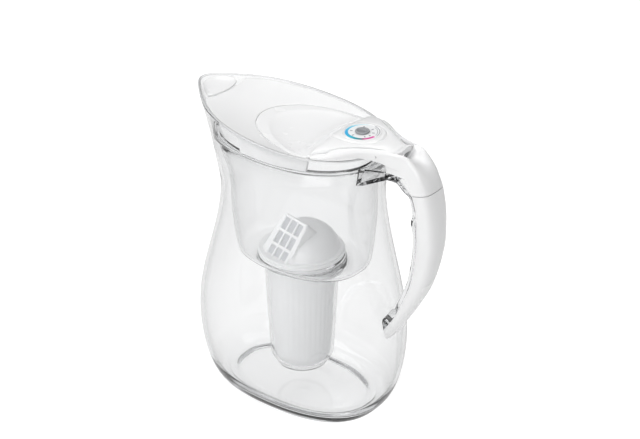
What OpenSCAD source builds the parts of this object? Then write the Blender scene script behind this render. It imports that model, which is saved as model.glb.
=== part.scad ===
// Water filter pitcher with a flip lid, a drop-in filter and a filter-change dial.
// The jug stands on +Z, its spout looks along -X and its handle along +X.

/* [Jug] */
// Wall thickness of the clear jug
jug_wall = 2.4; // [2:0.1:3]
// Length of the foot ring that the jug stands on
foot_len = 124; // [118:1:132]
// Width of the foot ring
foot_w = 79; // [74:1:86]
// Length of the hollow inside the foot ring
recess_len = 108; // [96:1:110]
// Width of the hollow inside the foot ring
recess_w = 64; // [56:1:66]
// Depth of the hollow inside the foot ring
recess_h = 2.5; // [1.5:0.5:4]
// Length of the jug at its fullest
belly_len = 164; // [154:1:172]
// Width of the jug at its fullest
belly_w = 112; // [106:1:122]
// Height at which the jug is fullest
belly_z = 59; // [52:1:66]
// Reach of the waist towards the spout
waist_front = 57.5; // [56:0.5:60]
// Reach of the waist towards the handle
waist_back = 60.5; // [59:0.5:62]
// Width of the jug at its waist
waist_w = 100; // [97:1:104]
// Height of the waist
waist_z = 174; // [168:1:180]
// Reach of the rim's oval towards the spout, without the spout itself
rim_front = 82; // [79:0.5:85]
// Reach of the rim's oval towards the handle
rim_back = 69; // [67:0.5:71]
// Width of the rim
rim_w = 94.5; // [92:0.5:98]
// Height of the rim on the handle side
rim_z = 218.4; // [214:0.2:222]
// Reach of the spout's tip
spout_reach = 92; // [90:0.5:95]
// Half of the width over which the rim is drawn out into the spout
spout_half = 16; // [13:0.5:18]

/* [Hopper] */
// Height of the ledge inside the jug that carries the hopper
ledge_z = 206; // [203:0.5:207]
// Width of that ledge
ledge_w = 2; // [1.6:0.1:2.4]
// Wall thickness of the hopper and its filter well
hopper_wall = 1.8; // [1.5:0.1:2.2]
// Thickness of the hopper's rim flange
hopper_flange = 2; // [1.6:0.2:2.6]
// Gap between the hopper and the jug at the flange
hopper_gap = 0.6; // [0.4:0.1:1]
// Height of the hopper's floor
floor_z = 115; // [110:1:118]
// Reach of the hopper's front wall at the top, which leaves a pouring gap before it
hopper_front = 66; // [62:0.5:68]

/* [Filter cartridge] */
// Radius of the cartridge's flange
cartridge_r = 31.5; // [30:0.5:33]
// Thickness of the cartridge's flange
cartridge_flange = 2.4; // [2:0.2:3]
// Radius of the cartridge's cup just under the flange
cup_top_r = 25; // [24:0.5:26]
// Radius of the cartridge's cup near its bottom
cup_low_r = 21.3; // [20:0.1:22]
// Wall thickness of the cup
cup_wall = 1.5; // [1.2:0.1:2]
// Length of the cup under the flange
cup_len = 92; // [86:1:94]
// Gap between the cup and the well around it
well_gap = 0.6; // [0.4:0.1:1]
// Height of the cap's dome over the flange
cap_h = 26; // [24:0.5:28]
// Width of the windowed inlet ramp
ramp_w = 22; // [20:0.5:24]

/* [Lid] */
// Thickness of the lid's walls
lid_wall = 2; // [1.6:0.1:2.4]
// Gap between the lid and the jug's rim
lid_gap = 0.5; // [0.4:0.1:0.8]
// Length of the flip lid's oval front, from its apex to its widest point
door_front = 59.9; // [57:0.5:61]
// Half of the flip lid's width at its widest point
door_half = 37; // [35.5:0.5:37.5]
// Place of the widest point towards the handle
door_mid = 26.3; // [25:0.1:27]
// Gap all round the flip lid
door_gap = 0.6; // [0.5:0.1:0.9]
// Place of the flip lid's hinge towards the handle
hinge_x = 75; // [74:0.5:76]
// Height of the flip lid's hinge
hinge_z = 222.6; // [222.2:0.2:223]
// Radius of both hinge pins
pin_r = 1.2; // [1:0.1:1.4]
// Running clearance of both hinge pins
pin_fit = 0.05; // [0.03:0.01:0.08]

/* [Dial] */
// Place of the dial towards the handle
dial_x = 53; // [52:0.5:54]
// Outer radius of the dial's seat
dial_r = 13.6; // [13:0.2:14]
// Radius of the turning knob
knob_r = 5.2; // [4.6:0.2:5.6]
// Height of the knob over the dial's face
knob_h = 4; // [3:0.5:5]

/* [Handle] */
// Reach of the handle behind the jug's axis
handle_reach = 120.5; // [118:0.5:123]
// Half of the handle's width at its top
handle_half = 11.6; // [11:0.2:12]
// Thickness of the clear strip that lines the grip
strip_t = 3; // [2.6:0.2:3.6]
// Wall thickness of the white handle shell
shell_wall = 2.2; // [1.8:0.1:2.6]
// Radius of the snap pins that hold the shell
snap_r = 1.5; // [1.2:0.1:1.8]

/* [Hidden] */
$fn = 48;

clear_tint = [0.86, 0.89, 0.91, 0.45];
white_tint = [0.95, 0.95, 0.95];

// Sides of the lofted shells
round_steps = 48;
flare = 1.25;
spout_pull = spout_reach - rim_front;
// The bounding box is centred on the frame's origin
centre_shift = (spout_reach - handle_reach) / 2;

function sign_of(v) = v < 0 ? -1 : 1;
function mix(a, b, t) = a + (b - a) * t;
function unit(t) = min(max(t, 0), 1);
function ease(t) = let(u = unit(t)) u * u * (3 - 2 * u);
function oval_x(a, e) = sign_of(cos(a)) * pow(abs(cos(a)), 2 / e);
function oval_y(a, e) = sign_of(sin(a)) * pow(abs(sin(a)), 2 / e);

module placed() { translate([centre_shift, 0, 0]) children(); }

// Solid through rings of points. Each ring has the same even number of points, and its point j
// faces its point n - 1 - j, so the end caps are strips between the two.
module loft(rings) {
    n = len(rings[0]);
    m = len(rings);
    skin = [
        for (i = [0:m - 2], j = [0:n - 1])
            let(k = i + 1, l = (j + 1) % n)
            each [[i * n + j, k * n + l, i * n + l], [i * n + j, k * n + j, k * n + l]]
    ];
    cap = [for (j = [0:n / 2 - 2]) each [[j, j + 1, n - 2 - j], [j, n - 2 - j, n - 1 - j]]];
    end_cap = [for (f = cap) [for (i = [2:-1:0]) (m - 1) * n + f[i]]];
    polyhedron([for (r = rings) each r], concat(skin, cap, end_cap), 10);
}

// Rise of the rim from the handle side towards the spout
function rim_lift(x) = let(d = max(42 - x, 0)) 0.0465 * d + 0.000317 * d * d;

// One half size of the jug's outside at height z, from its four stations
function jug_size(z, foot, belly, waist, rim) =
    z < belly_z ? mix(foot, belly, sqrt(1 - pow(1 - unit(z / belly_z), 2)))
    : z < waist_z ? mix(belly, waist, ease((z - belly_z) / (waist_z - belly_z)))
    : mix(waist, rim, pow(unit((z - waist_z) / (rim_z - waist_z)), flare));
function jug_round(z) = mix(2.45, 2.1, ease((z - waist_z) / (rim_z - waist_z)));
function jug_front(z) = jug_size(z, foot_len / 2, belly_len / 2, waist_front, rim_front);
function jug_back(z) = jug_size(z, foot_len / 2, belly_len / 2, waist_back, rim_back);
function jug_half(z) = jug_size(z, foot_w / 2, belly_w / 2, waist_w / 2, rim_w / 2);
function spout_at(z) = spout_pull * ease((z - waist_z - 8) / (rim_z - waist_z - 8));
function rim_share(z) = pow(unit((z - waist_z) / (rim_z - waist_z)), 2);

// Point of the jug's outside at angle a and nominal height z, moved in by inset
function jug_point(a, z, inset) =
    let(
        front = cos(a) < 0,
        y = oval_y(a, jug_round(z)) * (jug_half(z) - inset),
        reach = (front ? jug_front(z) : jug_back(z)) - inset,
        pull = front ? spout_at(z) * exp(-pow(y / spout_half, 2)) : 0,
        x = oval_x(a, jug_round(z)) * reach - pull
    )
    [x, y, z + rim_lift(x) * rim_share(z)];
function jug_ring(z, inset) = [for (j = [0:round_steps - 1]) jug_point(j * 360 / round_steps, z, inset)];
function flat_oval(length, width, z, e = 2.4) =
    [for (j = [0:round_steps - 1]) let(a = j * 360 / round_steps)
        [oval_x(a, e) * length / 2, oval_y(a, e) * width / 2, z]];

// Point of the inside of the jug at angle a and true height z, which a few steps find
function level_z(a, z, n, steps) =
    steps == 0 ? n : level_z(a, z, z - rim_lift(jug_point(a, n, 0)[0]) * rim_share(n), steps - 1);
function level_point(a, z, inset) = let(p = jug_point(a, level_z(a, z, z, 4), inset)) [p[0], p[1], z];
function level_ring(z, inset) =
    [for (j = [0:round_steps - 1]) level_point(j * 360 / round_steps, z, inset)];

// Nominal heights at which the jug's wall is drawn
wall_z = [3, 8, 16, 27, 42, 59, 76, 94, 114, 136, 156, 174, 184, 193];
jug_floor = recess_h + jug_wall + 0.6;

module jug() color(clear_tint) placed()
    loft(concat(
        [flat_oval(recess_len - 3, recess_w - 3, recess_h), flat_oval(recess_len, recess_w, 0)],
        [flat_oval(foot_len, foot_w, 0)],
        [for (z = wall_z) jug_ring(z, 0)],
        [jug_ring(202, 0), jug_ring(210, 0), jug_ring(rim_z - 0.8, 0), jug_ring(rim_z, 0.6)],
        [jug_ring(rim_z, jug_wall - 0.6), jug_ring(rim_z - 0.8, jug_wall), jug_ring(212, jug_wall)],
        [level_ring(ledge_z, jug_wall), level_ring(ledge_z, jug_wall + ledge_w)],
        [level_ring(ledge_z - 7, jug_wall)],
        [for (i = [len(wall_z) - 2:-1:2]) jug_ring(wall_z[i], jug_wall)],
        [jug_ring(10, jug_wall + 1.4)],
        [flat_oval(foot_len - 4, foot_w - 4, jug_floor + 0.4)],
        [flat_oval(foot_len - 12, foot_w - 12, jug_floor)]
    ));

// Bars along a path in the XZ plane: a station holds the outer point, the pitch and the section
function lay(section, x, z, pitch) =
    [for (q = section) [x + q[1] * sin(pitch), q[0], z + q[1] * cos(pitch)]];

// Grip stations: reach against the handle's own, height, pitch, half width and full thickness
grip = [
    [-4.3, 202.8, 74.5, 11.6, 17],
    [-1.8, 192, 80, 11.4, 16.3],
    [-0.5, 182, 86, 11, 16.6],
    [0, 172, 89.5, 10.5, 17.2],
    [0, 160.9, 93, 10, 17.2],
    [-1.9, 148.2, 100, 9.4, 16.4],
    [-5.1, 134.7, 107, 8.9, 15.4],
    [-9.9, 121.1, 114, 8.5, 14],
    [-17.2, 106.8, 118.5, 8.2, 12.6],
    [-25.4, 92.6, 121, 8, 12.4],
    [-33, 80.6, 124, 7.8, 13],
    [-39, 72.6, 127, 7.6, 14.4]
];
// The grip's lower end keeps its distance from the belly, whose drawn reach this is
grip_belly = 82;
function grip_x(s) = handle_reach + s[0] + unit((148 - s[1]) / 60) * (belly_len / 2 - grip_belly);
function grip_half(s) = s[3] + handle_half - grip[0][3];
strip_gap = 0.2;

function shell_section(w, depth) = concat(
    [[w, -depth]],
    [for (i = [0:10]) let(a = i * 18) [w * oval_x(a, 2.8), -7 + 7 * oval_y(a, 2.8)]],
    [[-w, -depth], [shell_wall - w, -depth]],
    [for (i = [10:-1:0]) let(a = i * 18)
        [(w - shell_wall) * oval_x(a, 2.8), -7 + (7 - shell_wall) * oval_y(a, 2.8)]],
    [[w - shell_wall, -depth]]
);

// Solid of the jug's belly behind the handle's foot, moved out by gap
module belly(gap) loft([for (z = [42, 59, 76, 94, 114]) jug_ring(z, -gap)]);
weld = 1.2;

module handle_shell() color(white_tint) placed() difference() {
    loft([for (s = grip)
        lay(shell_section(grip_half(s), s[4] - strip_t - strip_gap), grip_x(s), s[1], s[2])]);
    for (p = snap_places) snap_bore(p);
    belly(strip_gap);
}

// Bar section of the clear rail: the lining strip, and the rib that reaches into the shell
function rail_section(w, t, strip, top) = [
    [w, -t], [w, -t + strip - 0.3], [rail_rib, -t + strip], [rail_rib - 0.4, top],
    [0.4 - rail_rib, top], [-rail_rib, -t + strip], [-w, -t + strip - 0.3], [-w, -t]
];
rail_rib = 4;
// Arch of the rail under the lid's tail: place, height, pitch and thickness
arch = [
    [80, 210, 4, 5.8],
    [88.4, 209.5, 14, 5],
    [94.6, 207, 40, 5]
];

module handle_rail() color(clear_tint) placed() difference() {
    union() {
        loft(concat(
            [for (s = arch) lay(rail_section(10.6, s[3], s[3] - 1, -0.5), s[0], s[1], s[2])],
            [for (s = grip)
                lay(rail_section(grip_half(s) - 0.3, s[4], strip_t, -shell_wall - 1),
                    grip_x(s), s[1], s[2])]
        ));
        rail_bracket();
    }
    for (p = snap_places) snap_bore(p);
    belly(-weld);
}

// The tongue under the lid that is welded into the jug's wall: its back edge and its wall side
bracket_low = 196.5;
bracket_high = 209.8;
bracket_back = [[66.5, 17.4], [74, 13.6], [81, 10.6], [85, 6], [86, 0]];
bracket_front = [17, 13, 9, 4.5, 0];
function wall_x(y, z) = (jug_back(z) - jug_wall / 2)
    * pow(1 - pow(y / (jug_half(z) - jug_wall / 2), jug_round(z)), 1 / jug_round(z));
function mirrored(i) = i < 5 ? [i, 1] : [8 - i, -1];
function bracket_ring(rise) = concat(
    [for (i = [8:-1:0]) let(m = mirrored(i), p = bracket_back[m[0]])
        [p[0], m[1] * p[1], mix(bracket_low + (p[0] - 62) * 0.42, bracket_high, rise)]],
    [for (i = [0:8]) let(m = mirrored(i), y = bracket_front[m[0]])
        [wall_x(y, mix(bracket_low, bracket_high, rise)), m[1] * y, mix(bracket_low, bracket_high, rise)]]
);
module rail_bracket() loft([for (r = [0, 0.5, 1]) bracket_ring(r)]);

// Snap pins run across the handle: place along the grip and depth under its outside
snap_places = [[5, 10.4], [9, 7]];
module snap_bore(p) snap_axis(p) cylinder(h = 40, r = snap_r + 0.02, center = true);
module snap_axis(p) {
    s = grip[p[0]];
    translate([grip_x(s) - p[1] * sin(s[2]), 0, s[1] - p[1] * cos(s[2])]) rotate([90, 0, 0]) children();
}
module handle_snap_pins() color(white_tint) placed()
    for (p = snap_places) snap_axis(p)
        cylinder(h = 2 * grip_half(grip[p[0]]) - 0.8, r = snap_r, center = true);

// Hopper: outline at each height, its front held back from the spout
function hopper_ring(z, front, back, half, inset) =
    [for (j = [0:round_steps - 1])
        let(a = j * 360 / round_steps, f = cos(a) < 0)
        [oval_x(a, 2.3) * ((f ? front : back) - inset), oval_y(a, 2.3) * (half - inset), z]];
function seat_ring(z, inset) =
    [for (p = level_ring(ledge_z, jug_wall + hopper_gap + inset))
        [max(p[0], -hopper_front + inset), p[1], z]];
// The hopper clears the jug's waist and passes its ledge when it is lifted out
throat_play = 2;
throat_front = waist_front - jug_wall - throat_play;
throat_back = waist_back - jug_wall - throat_play;
throat_half = jug_half(ledge_z) - jug_wall - ledge_w - hopper_gap;
hopper_rows = [
    [ledge_z - 8, 7, 4.6, -0.6],
    [waist_z + 14, 3, 1.6, 0],
    [waist_z, 0, 0, 0],
    [floor_z + 37, -1.4, 0, -0.2],
    [floor_z + 17, -2.2, -1, -3.2],
    [floor_z + 5, -3.4, -2, -5.8]
];
function hopper_row(i, inset) = let(r = hopper_rows[i])
    hopper_ring(r[0], throat_front + r[1], throat_back + r[2], throat_half + r[3], inset);
function hopper_floor(z, edge) =
    hopper_ring(z, throat_front - edge - 3, throat_back - edge - 1.8, throat_half - edge - 5.4, 0);
// Well: outside radius at its mouth and at its foot
well_top_r = cup_top_r + well_gap + hopper_wall;
well_low_r = cup_low_r + well_gap + hopper_wall;
seat_z = floor_z + 1.5;
cup_bottom = seat_z - cup_len;
well_bottom = cup_bottom - 1 - hopper_wall;
well_corner = 9;
drain_r = 7;

module hopper() color(clear_tint) placed() difference() {
    union() {
        loft(concat(
            [hopper_floor(floor_z - hopper_wall, 7.6), hopper_floor(floor_z, 3)],
            [for (i = [len(hopper_rows) - 1:-1:0]) hopper_row(i, 0)],
            [seat_ring(ledge_z - 1.5, ledge_w + 1), seat_ring(ledge_z, ledge_w + 0.6)],
            [seat_ring(ledge_z, 0)],
            [seat_ring(ledge_z + hopper_flange, 0), seat_ring(ledge_z + hopper_flange, ledge_w + 2)],
            [for (i = [0:len(hopper_rows) - 1]) hopper_row(i, hopper_wall)],
            [hopper_floor(floor_z, 5.6)]
        ));
        well_body(0);
        translate([0, 0, floor_z - 4]) cylinder(h = seat_z - floor_z + 4, r = cartridge_r);
    }
    well_body(hopper_wall);
    translate([0, 0, well_bottom - 1]) cylinder(h = 10, r = drain_r);
}
module well_body(inset) rotate_extrude() polygon([
    [0, well_bottom + inset],
    [well_low_r - 5 - inset * 0.6, well_bottom + inset],
    [well_low_r - inset, well_bottom + well_corner],
    [well_top_r - inset, seat_z - 6],
    [well_top_r - inset, seat_z + (inset > 0 ? 1 : 0)],
    [0, seat_z + (inset > 0 ? 1 : 0)]
]);

flange_top = seat_z + cartridge_flange;
module cartridge_cup() color(white_tint) placed() rotate_extrude() polygon([
    [drain_r - 1, cup_bottom],
    [cup_low_r - 4, cup_bottom],
    [cup_low_r, cup_bottom + 8],
    [cup_top_r, seat_z - 6],
    [cup_top_r, seat_z],
    [cartridge_r, seat_z],
    [cartridge_r, flange_top],
    [cup_top_r - cup_wall, flange_top],
    [cup_top_r - cup_wall, seat_z - 6],
    [cup_low_r - cup_wall, cup_bottom + 8.4],
    [cup_low_r - 4.6, cup_bottom + cup_wall],
    [drain_r - 1, cup_bottom + cup_wall]
]);

// Inner radius of the cup at height z
function cup_inner(z) = mix(cup_low_r, cup_top_r,
    unit((z - cup_bottom - 8) / (seat_z - 14 - cup_bottom))) - cup_wall;
fill_gap = 0.3;
module filling(low, high) rotate_extrude() polygon([
    [0, low], [cup_inner(low) - fill_gap, low], [cup_inner(high) - fill_gap, high], [0, high]
]);
screen_low = cup_bottom + cup_wall;
resin_low = cup_bottom + 9.6;
resin_high = cup_bottom + 42;
pad_t = 2.4;
carbon_high = seat_z - 8;
module outlet_screen() color("gainsboro") placed() translate([0, 0, screen_low])
    cylinder(h = resin_low - screen_low - 0.2, r = cup_low_r - 5.4);
module resin_beads() color("wheat") placed() filling(resin_low, resin_high);
module middle_pad() color("ivory") placed() filling(resin_high, resin_high + pad_t);
module carbon_granules() color("dimgray") placed() filling(resin_high + pad_t, carbon_high);
module inlet_pad() color("ivory") placed() filling(carbon_high, carbon_high + pad_t);

// Cap: a dome over the flange, cut by a slanted ramp with rows of windows
dome_r = 27.5;
cap_wall = 1.6;
ramp_turn = -12;
ramp_slope = 42;
ramp_low = [-3, -27.6];
cap_seat = flange_top;
module dome(inset) rotate_extrude() polygon(concat(
    [[0, 0], [dome_r - inset, 0]],
    [for (i = [0:10]) let(a = i * 9)
        [(dome_r - inset) * pow(cos(a), 0.72), 3 + (cap_h - 3 - inset) * pow(sin(a), 0.9)]]
));
module ramp_space(inset) rotate([0, 0, ramp_turn]) translate([ramp_low[0], ramp_low[1], 2.6])
    rotate([ramp_slope, 0, 0]) translate([-60, -30, inset]) cube([120, 100, 60]);
module on_ramp() rotate([0, 0, ramp_turn]) translate([ramp_low[0], ramp_low[1], 2.6])
    rotate([ramp_slope, 0, 0]) children();
window_w = 5.4;
window_l = 8.2;
window_step = 6.9;
window_rise = 10;
module cartridge_cap() color(white_tint) placed() translate([0, 0, cap_seat]) difference() {
    union() {
        cylinder(h = 1.6, r = cartridge_r - 1);
        difference() {
            dome(0);
            ramp_space(0);
        }
    }
    translate([0, 0, -0.01]) difference() {
        dome(cap_wall);
        ramp_space(-cap_wall);
    }
    on_ramp() for (i = [-1:1], j = [0:2])
        translate([i * window_step - window_w / 2, 1.6 + j * window_rise, -4])
            cube([window_w, window_l, 8]);
}
screen_t = 0.5;
module cap_screen() color("darkgray") placed() translate([0, 0, cap_seat]) intersection() {
    on_ramp() translate([-ramp_w / 2 + 0.4, 1, -cap_wall - 0.1 - screen_t])
        cube([ramp_w - 0.8, 30.4, screen_t]);
    dome(cap_wall + 0.4);
}

// Lower edge of the lid's skirt, just over the hopper's flange
skirt_low = ledge_z + hopper_flange + 0.3;
// Lid stations: place, edge height, middle height, half width, shape, underside, pitch and dent.
// An edge height of 0 takes the rim's height, and a half width of 0 the rim's inside. The underside
// is a height up to the seam with the handle's tail, and a depth under the edge from there on.
lid_rows = [
    [-66.3, 0, 225.2, 0, 2, 3, 0, 0],
    [-56, 0, 222.4, 0, 2, 3, 0, 0],
    [-44, 0, 220, 0, 2, 3, 0, 0],
    [-32, 0, 218.2, 0, 2, 3, 0, 0],
    [-22, 0, 217, 0, 2, 3, 0, 0],
    [-19, 0, 216.7, 0, 2, skirt_low, 0, 0],
    [-8, 0, 215.4, 0, 2, skirt_low, 0, 0],
    [4, 0, 213.6, 0, 2, skirt_low, 0, 0],
    [16, 0, 211.6, 0, 2, skirt_low, 0, 0],
    [26, 0, 211.6, 0, 2, skirt_low, 0, 0],
    [34, 0, 218.6, 0, 2, skirt_low, 0, 0],
    [35.6, 219.6, 221.4, 0, 2, 0.5, 0, 0],
    [40, 220, 226, 38.4, 2, 0.6, 0, 0],
    [47, 220.6, 227.6, 35, 2.1, 1.2, 0, 0],
    [55, 221.4, 228.2, 30, 2.6, 1.4, 0, 0],
    [63, 222.6, 228.4, 23.4, 3.2, 1.8, 0, 0],
    [72, 223.2, 228.4, 17.6, 3.2, 3.4, 0, 0],
    [81, 223.4, 228.4, 13.9, 3, 5.8, 2, 0],
    [88, 223, 228.6, 12.5, 2.8, 7.4, 8, 9],
    [93.4, 222.6, 228.6, 11.9, 2.8, 7.8, 17, 9],
    [98.6, 220.8, 227.2, 11.6, 2.8, 7.8, 31, 6],
    [104, 216.2, 222.8, 11.6, 2.8, 7.6, 45, 3.4],
    [109.6, 209.6, 216.4, 11.6, 2.8, 7.2, 56, 1.2],
    [113.8, 201.6, 208.6, 11.6, 2.8, 6.8, 67, 0],
    [116, 196.4, 203.4, 11.6, 2.8, 6.8, 74.5, 0]
];
rim_drop = 1;
front_dip = 2.5;
// Half width of the inside of the jug at a place and a true height, without the spout
function rim_level(x, z, n, steps) =
    steps == 0 ? n : rim_level(x, z, z - rim_lift(x) * rim_share(n), steps - 1);
function inside_half(x, z, inset) = let(
    n = rim_level(x, z, z, 6),
    e = jug_round(n),
    reach = (x < 0 ? jug_front(n) : jug_back(n)) - inset)
    (jug_half(n) - inset) * pow(1 - pow(unit(abs(x) / reach), e), 1 / e);
function row_edge(r) = r[1] > 0 ? r[1] : rim_z + rim_lift(r[0]) - rim_drop;
function row_dip(r) = r[0] < -60 ? front_dip : 0;
function fit_half(r, z) = inside_half(r[0] - row_dip(r), z, jug_wall + lid_gap);
function row_half(r) = r[3] > 0 ? r[3] : fit_half(r, row_edge(r));
function bow(v, e) = pow(max(1 - pow(abs(v), e), 0), 1 / (e < 2.05 ? 1 : e));
section_steps = 12;
function dent(v) = pow(max(1 - pow(v / 0.85, 2), 0), 1.5);
function lid_top(r, edge, v) = mix(edge, 0, bow(v, r[4])) - r[7] * dent(v);
// The section's points are relative to the middle of its top
function lid_section(r) =
    let(
        edge = row_edge(r) - r[2],
        w = row_half(r),
        low = r[5] > 100 ? r[5] - r[2] : edge - r[5],
        foot = r[3] > 0 ? w : min(w, fit_half(r, low + r[2])))
    concat(
        [[foot, low]],
        [for (i = [0:section_steps]) let(v = cos(i * 180 / section_steps)) [w * v, lid_top(r, edge, v)]],
        [[-foot, low], [lid_wall - foot, low]],
        [for (i = [section_steps:-1:0]) let(v = cos(i * 180 / section_steps))
            [(w - lid_wall) * v, lid_top(r, edge, v) - (low > edge - lid_wall ? 0.5 : 1) * lid_wall]],
        [[foot - lid_wall, low]]
    );
// The lid's front edge curves back in the middle, behind the spout flap
function lid_ring(r) = [for (p = lay(lid_section(r), r[0], r[2], r[6]))
    [p[0] - row_dip(r) * pow(p[1] / row_half(r), 2), p[1], p[2]]];

// Outline of the flip lid, from its front apex round its oval and along its narrowing tail
door_tail = [[37, 34.5], [46, 29.8], [54.4, 23.4], [63, 17.6], [72, 12.8], [81, 9.2], [88.4, 8.4]];
door_end = 91;
// Room beside the tail for its swing about the hinge, which lies under it
door_sweep = 1.9;
function door_outline(grow) = let(
    side = concat(
        [for (a = [180:-10:100]) [door_mid + (door_front + grow) * cos(a), (door_half + grow) * sin(a)]],
        [[door_mid + 3, door_half + grow]],
        [for (p = door_tail) [p[0], p[1] + grow + door_sweep * unit((p[0] - 50) / 12)]],
        [[door_end + 2.6 * grow, 7 + grow + door_sweep]]
    ))
    concat(side, [for (i = [len(side) - 1:-1:1]) [side[i][0], -side[i][1]]]);
module door_prism(grow) translate([0, 0, 195]) linear_extrude(height = 50) polygon(door_outline(grow));

hollow_floor = 212;
ear_half = 13.4;
ear_w = 2.6;
flap_hinge_x = -69.8;
flap_hinge_z = 221.9;
flap_ear = 10.4;

module lid_cover() color(white_tint) placed() difference() {
    union() {
        difference() {
            loft([for (r = lid_rows) lid_ring(r)]);
            door_prism(door_gap);
        }
        thumb_hollow();
        for (s = [-1, 1]) {
            door_ear(s);
            flap_ear(s);
        }
    }
    translate([hinge_x, 0, hinge_z]) rotate([90, 0, 0])
        cylinder(h = 60, r = pin_r + 0.02, center = true);
    at_flap_hinge() cylinder(h = 60, r = pin_r + 0.02, center = true);
}
module at_flap_hinge() translate([flap_hinge_x, 0, flap_hinge_z]) rotate([90, 0, 0]) children();
// Arm under the lid's front edge that holds the spout flap's pin
module flap_ear(s) translate([flap_hinge_x, s * (flap_ear + ear_w / 2), flap_hinge_z]) {
    rotate([90, 0, 0]) cylinder(h = ear_w, r = 1.9, center = true);
    translate([0, -ear_w / 2, -1.9]) cube([7, ear_w, 2.8]);
}
// Tray under the flip lid's tail that its lip dips into
module thumb_hollow() difference() {
    translate([hinge_x + 6, -handle_half + 0.4, hollow_floor - 1.6]) cube([17, 2 * handle_half - 0.8, 10]);
    translate([hinge_x + 4, -handle_half + 1.8, hollow_floor]) cube([17.4, 2 * handle_half - 3.6, 12]);
}
module door_ear(s) translate([hinge_x, s * (ear_half + ear_w / 2), hinge_z]) {
    rotate([90, 0, 0]) cylinder(h = ear_w, r = 3.4, center = true);
    translate([-3.4, -ear_w / 2, 0]) cube([6.8, ear_w, 3]);
}

// Flip lid stations: place, edge height, middle height and shape
door_rows = [
    [-31.6, 218.4, 218.3, 2],
    [-24, 218.2, 217.6, 2],
    [-12, 218, 216.2, 2],
    [0, 217.4, 215.4, 2],
    [12, 216.6, 216.2, 2],
    [22, 216, 219.6, 2],
    [30, 216.8, 223.8, 2],
    [38, 221.4, 226.4, 2.1],
    [46, 223.8, 227.4, 2.4],
    [54, 226, 227.9, 2.8],
    [62, 227.2, 228.2, 2.8],
    [70, 227, 228.2, 2.8],
    [78, 226, 227.6, 2.4],
    [84, 225.4, 226.4, 2],
    [88.4, 226, 226.6, 2],
    [90.6, 227.4, 228, 2]
];
door_wall = 2;
function oval_half(x) = door_half * sqrt(max(1 - pow((x - door_mid) / door_front, 2), 0));
function tail_half(x) = lookup(x, concat([[door_mid + 3, door_half]], door_tail, [[door_end, 7]]));
function door_width(x) = x < door_mid + 3 ? oval_half(x) : tail_half(x);
function door_section(r) = let(w = door_width(r[0]) - 0.1, edge = r[1] - r[2]) concat(
    [for (i = [0:section_steps]) let(v = cos(i * 180 / section_steps)) [w * v, mix(edge, 0, bow(v, r[3]))]],
    [for (i = [section_steps:-1:0]) let(v = cos(i * 180 / section_steps))
        [w * v, mix(edge, 0, bow(v, r[3])) - door_wall]]
);
knuckle_half = 9.4;
module flip_lid() color(white_tint) placed() difference() {
    union() {
        loft([for (r = door_rows) lay(door_section(r), r[0], r[2], 0)]);
        translate([hinge_x, 0, hinge_z]) {
            rotate([90, 0, 0]) cylinder(h = 2 * knuckle_half, r = 3, center = true);
            translate([-3, -knuckle_half, 0]) cube([6, 2 * knuckle_half, 3.4]);
        }
    }
    translate([hinge_x, 0, hinge_z]) rotate([90, 0, 0])
        cylinder(h = 60, r = pin_r + pin_fit, center = true);
    dial_place(-0.6) cylinder(h = 20, r = dial_r + 0.1);
    dial_place(-6) cylinder(h = 8, r = stem_r + pin_fit);
}
module flip_lid_pin() color("silver") placed()
    translate([hinge_x, 0, hinge_z]) rotate([90, 0, 0])
        cylinder(h = 2 * (ear_half + ear_w), r = pin_r, center = true);

// Spout flap: rows across the spout from its back edge to the rim's inside
flap_t = 1.3;
flap_gap = 2.6;
flap_high = 225.2;
flap_rise = 3.2;
function flap_front(y) = let(
    half = rim_w / 2 - jug_wall - flap_gap,
    reach = rim_front - jug_wall - flap_gap)
    -reach * pow(1 - pow(abs(y) / half, 2.1), 1 / 2.1) - spout_pull * exp(-pow(y / spout_half, 2));
flap_half = 16;
module spout_flap() color(white_tint) placed() difference() {
    union() {
        loft([for (i = [0:8]) let(
            y = flap_half * (1 - i / 4),
            back = flap_hinge_x + 1.6 - 4 * pow(y / flap_half, 2))
            [[back, y, flap_high - flap_t], [back, y, flap_high], [flap_front(y), y, flap_high + flap_rise],
            [flap_front(y), y, flap_high + flap_rise - flap_t]]]);
        at_flap_hinge() cylinder(h = 2 * flap_ear - 0.8, r = 2, center = true);
        translate([flap_hinge_x - 2, 0.4 - flap_ear, flap_hinge_z]) cube([4, 2 * flap_ear - 0.8, 2.4]);
    }
    at_flap_hinge() cylinder(h = 60, r = pin_r + pin_fit, center = true);
}
module spout_flap_pin() color("silver") placed()
    at_flap_hinge() cylinder(h = 2 * (flap_ear + ear_w), r = pin_r, center = true);

// Dial: everything is placed from the middle of the flip lid's raised part
dial_z = 227.9;
dial_tilt = 2;
module dial_place(up)
    translate([dial_x, 0, dial_z]) rotate([0, -dial_tilt, 0]) translate([0, 0, up]) children();
module ring(outer, inner, h) difference() {
    cylinder(h = h, r = outer);
    translate([0, 0, -1]) cylinder(h = h + 2, r = inner);
}
face_r = 12.6;
face_t = 0.6;
arc_out = 12.2;
arc_in = 9.2;
arc_t = 0.3;
stem_r = 1.6;
stem_low = 3.4;
module dial_seat() color(white_tint) placed() dial_place(-0.6) difference() {
    cylinder(h = 1.4, r = dial_r);
    translate([0, 0, 0.6]) cylinder(h = 2, r = face_r + 0.02);
    translate([0, 0, -1]) cylinder(h = 4, r = stem_r + pin_fit);
}
module dial_face() color("white") placed() dial_place(0) ring(face_r, stem_r + pin_fit, face_t);
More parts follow.
